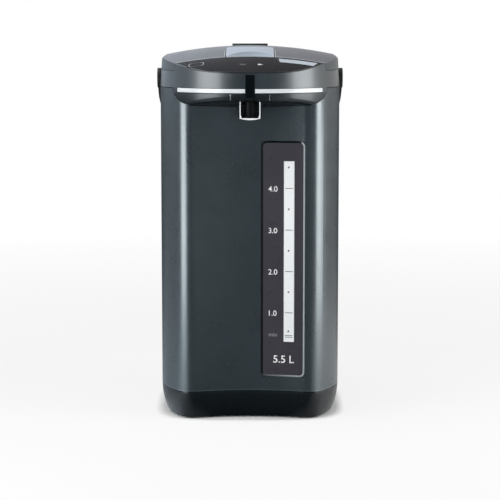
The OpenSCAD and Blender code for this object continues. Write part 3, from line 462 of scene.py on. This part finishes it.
def board(name):
    """Circuit board lacquer: green with a pattern of darker tracks and small pads."""
    f = Finish(name, Coat_Weight=0.4)
    tracks = f.node("TexVoronoi", {"Vector": f.coords.outputs["Object"], "Scale": 180.0},
                    distance="MANHATTAN", feature="F2")
    pads = f.ramp(tracks.outputs["Distance"], 0, 1, (0.52, 0.6))
    f.colour(f.blend(pads, rgb("#1d5a3c"), rgb("#2f7a52")))
    f.roughness(f.ramp(f.noise(80, 3), 0.3, 0.45))
    f.bump(pads, 0.00003)
    return f.material


def ring_print_and_highlight(name):
    """A print on the oval key with painted light: white at its ends as a painted highlight, and
    grey along the oval's flat sides.
    """
    f = Finish(name)
    ends = f.ramp(f.off(f.where("X"), KEY_C[0]), 0, 1, (4.0, 7.5))
    f.colour(f.blend(ends, rgb("#6d6d70"), rgb("#f2f3f4")))
    f.roughness(f.ramp(f.noise(300, 3), 0.4, 0.5))
    f.bump(f.noise(1500, 3), 0.000004)
    return f.material


# ---- second tones that lie over a finish in places, some of them painted light and shade ----

PANEL_TONE = "#29282c"


def head_front(f, paint):
    """Painted shade darkens the head's chin downwards. Two painted highlights, pale lines at the
    spout housing's step, flank the spout, and film tops the rim.

    The film over the head's front rim reaches down to a line that sags in front. The line's
    height in millimetres is RIM_Z plus RIM_RISE times the fourth power of x over RIM_X.
    """
    ahead = f.ramp(f.where("Y"), 1, 0, (-PANEL_LEAD - 0.5, -PANEL_LEAD))
    # Painted shade: the chin's paint darkens towards its lower edge.
    chin = f.all_of(f.ramp(f.where("Z"), 0.9, 0.5, (CHIN_Z, CHIN_TOP_Z)),
                    f.ramp(f.where("Z"), 1, 0, (CHIN_TOP_Z, CHIN_TOP_Z + 1.0)), ahead)
    paint = f.blend(chin, paint, rgb("#22272a"))
    # Painted highlights: a pale line on the chin at each side of the spout.
    from_joint = f.off(f.calc("ABSOLUTE", f.where("X")), SPOUT_JOINT_X)
    joint = f.all_of(f.ramp(from_joint, 1, 0, (0.2, 0.5)),
                     f.ramp(f.where("Z"), 0, 1, (CHIN_Z + 2.5, CHIN_Z + 3.0)),
                     f.ramp(f.where("Z"), 1, 0, (CHIN_TOP_Z - 0.5, CHIN_TOP_Z)), ahead)
    paint = f.blend(joint, paint, rgb("#c9cdcf"))
    ratio = f.calc("ABSOLUTE", f.calc("DIVIDE", f.where("X"), RIM_X))
    line = f.calc("MULTIPLY_ADD", f.calc("POWER", ratio, 4.0), RIM_RISE, RIM_Z)
    above = f.calc("SUBTRACT", f.where("Z"), line)
    covered = f.all_of(f.ramp(above, 0, 1, (-0.2, 0.2)), ahead)
    f.put(f.calc("MULTIPLY_ADD", covered, -0.9, 0.9), f.shader.inputs["Metallic"])
    film = f.blend(f.ramp(above, 0, 1, (0.7, 1.0)), rgb("#0b0c0e"), rgb(PANEL_TONE))
    return covered, paint, film


def dish_shade(f, paint):
    """Painted shade: the latch is darker in its dish, most of all along the dish's back edge,
    and more on the left than on the right.
    """
    centre = [v * MM for v in DISH_C]
    ball = f.node("VectorMath", {0: f.coords.outputs["Object"], 1: centre}, operation="DISTANCE")
    inside = f.ramp(ball.outputs["Value"], 1, 0, ((DISH_R + 0.1) * MM, (DISH_R + 0.3) * MM))
    back = f.ramp(f.where("Y"), 0, 1, (-82.0, -72.0))
    left = f.ramp(f.where("X"), 1, 0.3, (-20.0, 22.0))
    return inside, paint, f.blend(f.all_of(back, left), rgb("#b4c0cd"), rgb("#8f9ba8"))


def lens_end(f, pale):
    """The pale lens ends on the left at a slanting line, beyond which it is dark film."""
    slant = 0.12
    line = f.calc("MULTIPLY_ADD", f.where("Y"), -slant, 30.2 - slant * 88)
    inside = f.ramp(f.calc("SUBTRACT", f.where("X"), line), 0, 1, (-0.2, 0.2))
    return inside, rgb(PANEL_TONE), pale


def strip_shadow(f, bright):
    """Painted shadow: dark lines along the strip's lower and upper edges, where it sinks
    into its groove.
    """
    low = f.ramp(f.where("Z"), 1, 0, (STRIP_Z[0] + 0.75, STRIP_Z[0] + 0.95))
    high = f.ramp(f.where("Z"), 0, 1, (STRIP_Z[1] - 0.35, STRIP_Z[1] - 0.2))
    return f.calc("MAXIMUM", low, high), bright, rgb("#14181b")


def dark_sides(f, paint):
    """The silver lies on the top only: where the surface stands upright it has the head's tone."""
    up = f.node("SeparateXYZ", {0: f.coords.outputs["Normal"]}).outputs["Z"]
    return f.ramp(up, 0, 1, (0.5, 0.7)), rgb("#585d60"), paint


def seam_line(f, plastic):
    """The base's top edge is a black joint line under the body."""
    top = f.ramp(f.where("Z"), 0, 1, (BASE_TOP_Z - 1.3, BASE_TOP_Z - 1.0))
    return top, plastic, rgb("#010202")


def foot_highlight(f, paint):
    """Painted highlight: the body's paint is a little paler along its lowest edge, over the base.
    """
    foot = f.ramp(f.where("Z"), 1, 0, (BASE_TOP_Z + 0.8, BASE_TOP_Z + 1.2))
    return foot, paint, rgb("#878e92")


def trim_inner(f, bright):
    """The spout's trim is bright along its inner edge and below. Its outer sides are dark."""
    out = f.calc("ABSOLUTE", f.where("X"))
    sides = f.ramp(out, 0, 1, (TRIM_HALF - 1.4, TRIM_HALF - 1.2))
    floor = f.all_of(f.ramp(out, 1, 0, (TRIM_HALF - 3.2, TRIM_HALF - 3.0)),
                     f.ramp(f.where("Z"), 0, 1, (TRIM_Z + 1.9, TRIM_Z + 2.1)))
    return f.calc("MAXIMUM", sides, floor), bright, rgb("#0a0d0f")


def rim_highlight_and_shadow(f, plastic):
    """Painted highlight: the gauge's rim is pale along its right side and its foot. Elsewhere it
    is black, and on its left side that black is a painted shadow line.
    """
    right = f.ramp(f.where("X"), 0, 1, (GAUGE_X[1] - 5.0, GAUGE_X[1] - 3.0))
    foot = f.all_of(f.ramp(f.where("Z"), 1, 0, (GAUGE_Z[0] + 2.0, GAUGE_Z[0] + 4.0)),
                    f.ramp(f.where("X"), 0.15, 0.9, (GAUGE_X[0] + 2.0, GAUGE_X[1] - 5.0)))
    return f.calc("MAXIMUM", right, foot), plastic, rgb("#a7aeb3")


# ---- the finish of each slot ----------------------------------------------------------------

finishes = {
    "body_paint": painted("slate_metallic_paint", "#697073", "#71787b", (0.26, 0.32), foot_highlight,
                          Metallic=0.9, Coat_Weight=0.3, Coat_Roughness=0.15),
    "head_plastic": painted("head_metallic_paint", "#5c5f61", "#636668", (0.3, 0.36), head_front,
                            Metallic=0.9, Coat_Weight=0.3, Coat_Roughness=0.15),
    "lid_plastic": painted("lid_silver_paint", "#7c7d86", "#84858e", (0.34, 0.42), dark_sides,
                           Metallic=0.5),
    "latch_silver": painted("latch_pale_silver", "#c4cee0", "#ccd6e7", (0.3, 0.38), dish_shade,
                            Metallic=0.3),
    "base_plastic": moulded("base_charcoal_plastic", "#0a0f12", "#0e1316", (0.24, 0.32), 1400,
                            0.000006, seam_line, Coat_Weight=0.25),
    "black_gloss": moulded("piano_black", "#04080a", "#070b0d", (0.08, 0.14), 200, 0.000003),
    "black_plastic": moulded("handle_black_plastic", "#08090a", "#0c0e0f", (0.42, 0.55), 1600,
                             0.000018),
    "black_matte": moulded("spout_black", "#05090b", "#080c0e", (0.5, 0.6), 1200, 0.000008,
                           Specular_IOR_Level=0.15),
    "panel_film": moulded("dark_panel_film", PANEL_TONE, "#2d2c30", (0.26, 0.34), 2400, 0.000002,
                          Specular_IOR_Level=0.06),
    "gauge_film": moulded("dark_gauge_film", "#3d3b41", "#424046", (0.26, 0.34), 2400, 0.000002,
                          Specular_IOR_Level=0.12),
    "display_lens": moulded("pale_display_lens", "#bdc6d2", "#cbd4df", (0.3, 0.4), 300, 0.000003,
                            lens_end, Specular_IOR_Level=0.15),
    "milky_window": moulded("milky_window", "#f7f9f9", "#fdfefe", (0.12, 0.2), 500, 0.000002,
                            Coat_Weight=0.5),
    "white_plastic": moulded("white_plastic", "#f2f4f4", "#fafbfb", (0.35, 0.5), 1200, 0.00001),
    "silicone": moulded("milky_silicone", "#cfd3d2", "#dcdfde", (0.45, 0.6), 700, 0.00002,
                        Subsurface_Weight=0.15),
    "rubber_black": moulded("foot_rubber", "#0f1011", "#17181a", (0.7, 0.85), 1100, 0.00004),
    "lining_plastic": moulded("lining_grey_plastic", "#33383b", "#3b4043", (0.4, 0.55), 1300,
                              0.00002),
    "bright_trim": plated_painted_reflection("spout_trim_painted_reflection", "#fafbfc", "#f2f4f6", trim_inner),
    "bright_strip": plated_painted_reflection("strip_painted_reflection", "#e4e8eb", "#dde2e5", strip_shadow),
    "steel": brushed("drawn_stainless_steel", "#cfd2d4", "#dbdddf", (1, 1, 0.04), (0.26, 0.34)),
    "fixings": brushed("zinc_fixings", "#8f9396", "#a9adaf", (1, 1, 0.2), (0.28, 0.42)),
    "aluminium": brushed("cast_aluminium", "#a7abad", "#babec0", (0.3, 1, 1), (0.35, 0.5)),
    "brass": brushed("brass_pins", "#b08d48", "#c9a75c", (1, 0.15, 1), (0.22, 0.35)),
    "motor_case": brushed("motor_can", "#8b9094", "#a1a6a9", (1, 1, 0.1), (0.3, 0.45)),
    "clear_tube": clear("clear_polymer", "#eef6f8"),
    "circuit_board": board("green_board"),
}
# Pale strips that are painted highlights along the latch's and the lid's edges.
edge_highlight = painted("edge_highlight", "#d3d8df", "#dde2e8", (0.3, 0.4), Metallic=0.1)
white_print = moulded("white_print", "#eeeff0", "#f7f7f7", (0.4, 0.5), 1500, 0.000004)
grey_print = moulded("grey_print", "#4a4b4e", "#58595c", (0.4, 0.5), 1500, 0.000004)
faint_print = moulded("faint_print", "#8d8d91", "#99999d", (0.4, 0.5), 1500, 0.000004)
rim_plastic = moulded("rim_plastic", "#030609", "#06090c", (0.35, 0.45), 1200, 0.000004,
                      rim_highlight_and_shadow, Specular_IOR_Level=0.2)

slot_of = {part["node"]: part["material_slot"] for part in frame["record"]["subparts"]}
finish_of = dict(slot_of, gauge_window="milky_window", gauge_panel="gauge_film",
                 spout_nozzle="black_matte", chrome_strips="bright_strip",
                 spout_trim="bright_trim")
for name, solid in nodes.items():
    for holder in solid.material_slots:
        holder.link = "OBJECT"
        holder.material = finishes[finish_of[name]]

# ---- edges of the solids --------------------------------------------------------------------

SOFT_EDGES = {"lid_latch": 0.5, "spout_block": 0.6, "spout_trim": 0.4, "hinge_cover": 0.9,
              "chrome_strips": 0.3, "handle": 0.6, "base_skirt": 0.5}


def softened(solid, width):
    """Welds a solid's seams and rounds its sharp edges a little, width in millimetres."""
    solid.modifiers.new("weld", "WELD").merge_threshold = SEAM * MM
    bevel = solid.modifiers.new("round", "BEVEL")
    bevel.width = width * MM
    bevel.segments = 3
    bevel.limit_method = "ANGLE"
    bevel.angle_limit = math.radians(40)
    bevel.harden_normals = True


def rounded_lid():
    """The lid's shell with its upper side edges cut to an arc, in place of the CAD solid.

    The cutters are two bars along the sides. Their inner edge in section is an arc of
    SHOULDER_R about (SHOULDER_X, SHOULDER_Z), from upright to ten degrees short of level.
    """
    out, end, top = BAR_REACH
    a = np.linspace(math.radians(80), 0, 25)
    arc = np.column_stack([SHOULDER_X + SHOULDER_R * np.cos(a),
                           SHOULDER_Z + SHOULDER_R * np.sin(a)])
    outline = np.concatenate([arc, [[out, SHOULDER_Z], [out, top], [arc[0, 0], top]]])
    n = len(outline)
    parts = []
    for side in (-1, 1):
        ends = [np.column_stack([side * outline[:, 0], np.full(n, y), outline[:, 1]])
                for y in (-end, end)]
        parts.append((np.concatenate(ends), [f[::side] for f in prism_faces(n)]))
    points, faces = joined(parts)
    bars = bpy.data.meshes.new("shoulder_bars")
    bars.from_pydata(points * MM, [], faces)
    cutter = bpy.data.objects.new("shoulder_bars", bars)
    lid = bpy.data.objects.new("lid_shell_rounded", nodes["lid_shell"].data.copy())
    for made in (cutter, lid):
        bpy.context.scene.collection.objects.link(made)
    lid.modifiers.new("weld", "WELD").merge_threshold = SEAM * MM
    cut = lid.modifiers.new("shoulders", "BOOLEAN")
    cut.operation = "DIFFERENCE"
    cut.solver = "EXACT"
    cut.object = cutter
    graph = bpy.context.evaluated_depsgraph_get()
    done = bpy.data.meshes.new_from_object(lid.evaluated_get(graph))
    lid.modifiers.clear()
    lid.data = done
    bpy.data.objects.remove(cutter)
    bpy.data.meshes.remove(bars)
    if done.has_custom_normals:
        done.attributes.remove(done.attributes["custom_normal"])
    done.polygons.foreach_set("use_smooth", np.ones(len(done.polygons), bool))
    done.set_sharp_from_angle(angle=math.radians(25))
    done.materials.clear()
    done.materials.append(finishes["lid_plastic"])
    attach(lid, "lid")
    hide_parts("lid_shell")


for name, width in SOFT_EDGES.items():
    softened(nodes[name], width)
rounded_lid()

# ---- gauge --------------------------------------------------------------------------------

numerals = [lettering(f"{litre}.0", 5.8, (NUMERAL_X, LITRE_ZERO_Z + litre * LITRE - NUMERAL_DROP),
                      0.03) for litre in LITRES]
numerals.append(lettering("5.5 L", 8.0, VOLUME_MARK, 0.12))
new_piece("gauge_numerals", joined([on_hollow(n, FILM_DEPTH) for n in numerals]),
          white_print, "pot")
new_piece("gauge_low_mark", on_hollow(lettering("min", 4.4, LOW_MARK, 0.02), FILM_DEPTH),
          faint_print, "pot")

# Thin bars mark the litres and the lowest level, and small slanting ovals the halves.
line = np.array([[-4.0, -0.33], [4.0, -0.33], [4.0, 0.33], [-4.0, 0.33]])
drop = turned(stadium(0.9, 0.75, 8), 55) - [0.4, 0.0]
ticks = [(line, LITRE_ZERO_Z + k * LITRE) for k in LITRES] + [(line, z) for z in LOW_TICKS_Z]
ticks += [(drop, LITRE_ZERO_Z + (k + 0.5) * LITRE) for k in LITRES] + [(drop, LOW_DROP_Z)]
new_piece("gauge_ticks", joined([on_hollow(slab(shape + [TUBE_X, z]), WINDOW_DEPTH)
                                 for shape, z in ticks]), grey_print, "pot")

# The rim is a low bead on the film, carried round its edge on the hollow front. Its finish
# paints a highlight on its right side and foot.
inset = RIM_HALF + 0.05
edge = divided(rounded_frame((GAUGE_X[0] + inset, GAUGE_X[1] - inset),
                             (GAUGE_Z[0] + inset, GAUGE_Z[1] - inset), GAUGE_CORNER), 6.0)[::-1]
edge_path = np.stack([edge[:, 0], hollow_y(edge[:, 0], FILM_DEPTH), edge[:, 1]], 1)
rim_section = [(RIM_HALF, -0.05), (RIM_HALF, 0.35), (0.3, 0.62), (-0.3, 0.62),
               (-RIM_HALF, 0.2), (-RIM_HALF, -0.05)]
new_piece("gauge_rim", swept(edge_path, hollow_normal(edge[:, 0], FILM_DEPTH), rim_section, True),
          rim_plastic, "pot")

# ---- control panel ------------------------------------------------------------------------

# The ring lies on the dome just inside the key's edge. Its plan is shortened by the panel's slope.
oval = stadium(KEY_SPAN, KEY_R - 0.45) * [1, math.cos(PANEL_TILT)] + KEY_C
ring_section = [(-0.28, -0.2), (0.28, -0.2), (0.24, 0.08), (-0.24, 0.08)]
new_piece("key_ring", swept(np.column_stack([oval, dome_z(*oval.T)]), dome_normal(*oval.T),
                            ring_section, True), ring_print_and_highlight("ring_print_and_highlight"), "key")


def top_line(name, start, end, section, height, material, body, count=40):
    """A flat line laid on the top along a straight plan path, at a height that a function gives."""
    x, y = np.linspace(start, end, count).T
    line = swept(np.column_stack([x, y, height(x, y)]), dome_normal(x, y), section)
    new_piece(name, line, material, body)


top_line("panel_seam", (-SEAM_HALF, -SEAM_LEAD), (SEAM_HALF, -SEAM_LEAD), strap(1.2, -0.1, 0.03),
         dome_z, finishes["black_gloss"], "pot", 61)

# The latch has painted highlights, pale strips along its edges, with a dark gap outside them.
# The lid has painted highlights along the gap and along its front.
for side, label in ((-1, "left"), (1, "right")):
    edge_x = side * (LATCH_HALF - 0.45)
    gap_x = side * (LATCH_HALF + 0.55)
    lip_x = side * (LATCH_HALF + 1.4)
    top_line(f"latch_edge_highlight_{label}", (edge_x, -LATCH_LEAD[0]), (edge_x, -LATCH_LEAD[1] + 0.5),
             strap(0.8), latch_z, edge_highlight, "latch")
    top_line(f"latch_gap_{label}", (gap_x, -GAP_LEAD), (gap_x, -LATCH_LEAD[1]),
             strap(0.75), dome_z, finishes["black_matte"], "lid")
    top_line(f"lid_lip_highlight_{label}", (lip_x, -GAP_LEAD), (lip_x, -LATCH_LEAD[1]),
             strap(0.7), dome_z, edge_highlight, "lid")
    top_line(f"lid_edge_highlight_{label}", (side * 27.5, -LIP_LEAD), (side * 80.0, -LIP_LEAD),
             strap(0.8), dome_z, edge_highlight, "lid")
top_line("latch_front_edge_highlight", (-25.0, -LIP_LEAD), (25.0, -LIP_LEAD),
         strap(0.9), latch_z, edge_highlight, "latch")

# The wave mark is a ribbon along two periods of a cosine. The drop mark is an arc of a circle
# that closes in a point.
x = np.linspace(-3.4, 3.4, 33)
wave = np.column_stack([x, 0.9 * np.cos(x * 2 * math.pi / 3.4)])
wave = np.concatenate([wave + [0, 0.45], wave[::-1] - [0, 0.45]])
new_piece("wave_mark", on_dome(slab(wave + WAVE_MARK)), faint_print, "pot")
a = np.linspace(0.6, 2 * math.pi - 0.6, 33)
pear = np.concatenate([np.column_stack([1.5 * np.cos(a) - 0.9, 1.5 * np.sin(a)]), [[3.2, 0.0]]])
new_piece("drop_mark", on_dome(slab(pear + DROP_MARK)), white_print, "pot")

# ---- floor, light and camera, in metres -------------------------------------------------------

FLOOR_R = 40.0
SHADOW_EDGE = (0.096, 0.106)


def studio_floor():
    """A wide disc that keeps the shadow and lifts to white with distance.

    The contact shadow ends where the fourth root of x to the fourth plus y to the fourth
    crosses SHADOW_EDGE. Reflections see a grey floor that is pale on both sides, where across
    is x over the distance, and on a soft band a little right of the middle.
    """
    a = np.linspace(0, 2 * math.pi, 96, endpoint=False)
    mesh = bpy.data.meshes.new("floor")
    mesh.from_pydata(np.stack([FLOOR_R * np.cos(a), FLOOR_R * np.sin(a), np.zeros(96)], 1), [],
                     [list(range(96))])
    floor = bpy.data.objects.new("floor", mesh)
    bpy.context.scene.collection.objects.link(floor)
    f = Finish("floor_sweep", Roughness=0.9, Specular_IOR_Level=0.1)
    rays = f.node("LightPath").outputs["Is Camera Ray"]
    place = f.node("SeparateXYZ", {0: f.coords.outputs["Object"]}).outputs
    far = f.node("VectorMath", {0: f.coords.outputs["Object"]}, operation="LENGTH").outputs["Value"]
    across, along = f.calc("DIVIDE", place["X"], far), f.calc("DIVIDE", place["Y"], far)
    left = f.all_of(f.ramp(across, 1, 0, (-0.75, -0.4)), f.ramp(along, 1, 0.6, (-0.4, -0.1)))
    sides = f.calc("MAXIMUM", left, f.ramp(across, 0, 0.85, (0.4, 0.75)))
    band = f.all_of(f.ramp(f.off(across, 0.27), 0.45, 0, (0.0, 0.24)),
                    f.ramp(along, 1, 0, (-0.5, 0.0)), f.ramp(far, 0, 1, (0.4, 2.0)))
    pale = f.blend(f.ramp(across, 0, 1, (-0.5, 0.4)), rgb("#e6f2fb"), rgb("#ffffff"))
    mirrored = f.blend(f.calc("MAXIMUM", sides, band), rgb("#4a545c"), pale)
    f.colour(f.blend(rays, mirrored, rgb("#f4f4f4")))
    fourth = [f.calc("POWER", f.calc("ABSOLUTE", place[axis]), 4.0) for axis in ("X", "Y")]
    reach = f.calc("POWER", f.calc("ADD", *fourth), 0.25)
    lift = f.all_of(f.ramp(reach, 0, 1, SHADOW_EDGE), f.ramp(far, 0.8, 1.0, (0.4, 1.6)), rays)
    glow = f.node("Emission", {"Color": (1, 1, 1, 1), "Strength": 1.0})
    mixed = f.node("MixShader", {0: lift, 1: f.shader.outputs[0], 2: glow.outputs[0]})
    f.put(mixed.outputs[0], f.tree.nodes["Material Output"].inputs["Surface"])
    mesh.materials.append(f.material)


def studio_world(light, front, left, right):
    """Even surroundings of one light level.

    Gloss sees a dim room in front with a soft pale band, and behind a pale one, tinted on the
    left and dim high up on the right.
    """
    world = bpy.data.worlds.new("studio")
    bpy.context.scene.world = world
    world.cycles.sampling_method = "NONE"
    world.use_nodes = True
    tree = world.node_tree

    def node(kind, *inputs, **settings):
        """Outputs of a new node, with its first inputs set or linked in their order."""
        made = tree.nodes.new("ShaderNode" + kind)
        for key, value in settings.items():
            setattr(made, key, value)
        for socket, value in zip(made.inputs, inputs):
            if isinstance(value, bpy.types.NodeSocket):
                tree.links.new(value, socket)
            else:
                socket.default_value = value
        return made.outputs

    def tone(colour, share=1.0):
        """A colour at a share of its brightness."""
        return tuple(c * share for c in colour) + (1,)

    path = node("LightPath")
    way = node("SeparateXYZ", node("TexCoord")["Generated"])
    depth = node("MapRange", way["Y"], -0.75, 0.45)["Result"]
    off = node("Math", way["X"], 0.25, operation="SUBTRACT")[0]
    off = node("Math", off, operation="ABSOLUTE")[0]
    band = node("MapRange", off, 0.0, 0.2, 1.0, 0.0, interpolation_type="SMOOTHSTEP")["Result"]
    ahead = node("MixRGB", band, tone(front), tone(front, 1.7))[0]
    side = node("MapRange", way["X"], -0.5, 0.3)["Result"]
    behind = node("MixRGB", side, tone(left), tone(right))[0]
    high = node("MapRange", way["Z"], 0.05, 0.3)["Result"]
    beside = node("MapRange", way["X"], -0.1, 0.1)["Result"]
    dim = node("Math", high, beside, operation="MULTIPLY")[0]
    behind = node("MixRGB", dim, behind, tone(right, 0.45))[0]
    room = node("MixRGB", depth, ahead, behind)[0]
    seen = node("MixRGB", path["Is Glossy Ray"], (1, 1, 1, 1), room)[0]
    either = node("Math", path["Is Camera Ray"], path["Is Glossy Ray"], operation="MAXIMUM")[0]
    either = node("Math", either, path["Is Transmission Ray"], operation="MAXIMUM")[0]
    level = node("MixRGB", either, (light, light, light, 1), seen)[0]
    tree.links.new(level, tree.nodes["Background"].inputs["Color"])


def softbox(name, azimuth, elevation, distance, size, watts, aim=(0, 0, 0.2)):
    """An area lamp that stands round the pot and faces it. Azimuth 0 is in front."""
    a, e = math.radians(azimuth), math.radians(elevation)
    lamp = bpy.data.lights.new(name, "AREA")
    lamp.shape = "RECTANGLE"
    lamp.size, lamp.size_y = size
    lamp.energy = watts
    holder = bpy.data.objects.new(name, lamp)
    way = np.array([math.sin(a) * math.cos(e), -math.cos(a) * math.cos(e), math.sin(e)])
    holder.location = np.array(aim) + way * distance
    holder.rotation_euler = (math.pi / 2 - e, 0, a)
    bpy.context.scene.collection.objects.link(holder)
    return holder


studio_floor()
studio_world(light=0.26, front=(0.12, 0.19, 0.235), left=(0.87, 1.0, 1.12),
             right=(0.98, 0.98, 0.96))
softbox("left_strip", azimuth=-50, elevation=0, distance=0.85, size=(0.46, 0.68), watts=3.5,
        aim=(0, 0, 0.35))
softbox("right_strip", azimuth=66, elevation=0, distance=0.85, size=(0.46, 0.98), watts=5.2,
        aim=(0, 0, 0.5))
softbox("right_low", azimuth=90, elevation=0, distance=0.85, size=(0.28, 0.32), watts=0.7,
        aim=(0, 0, 0.14))
softbox("top_box", azimuth=-70, elevation=64, distance=1.7, size=(1.3, 1.3), watts=8.5)
fill = softbox("front_fill", azimuth=-10, elevation=8, distance=1.6, size=(1.0, 1.0), watts=6.4)
fill.visible_glossy = False

eye = bpy.data.cameras.new("camera")
eye.lens = 123.4
eye.sensor_width = 36.0
camera = bpy.data.objects.new("camera", eye)
camera.location = (0.0, -1.921, 0.425)
camera.rotation_euler = (math.radians(90 - 7.47), 0, 0)
bpy.context.scene.collection.objects.link(camera)
bpy.context.scene.camera = camera
bpy.context.scene.view_settings.view_transform = "Standard"
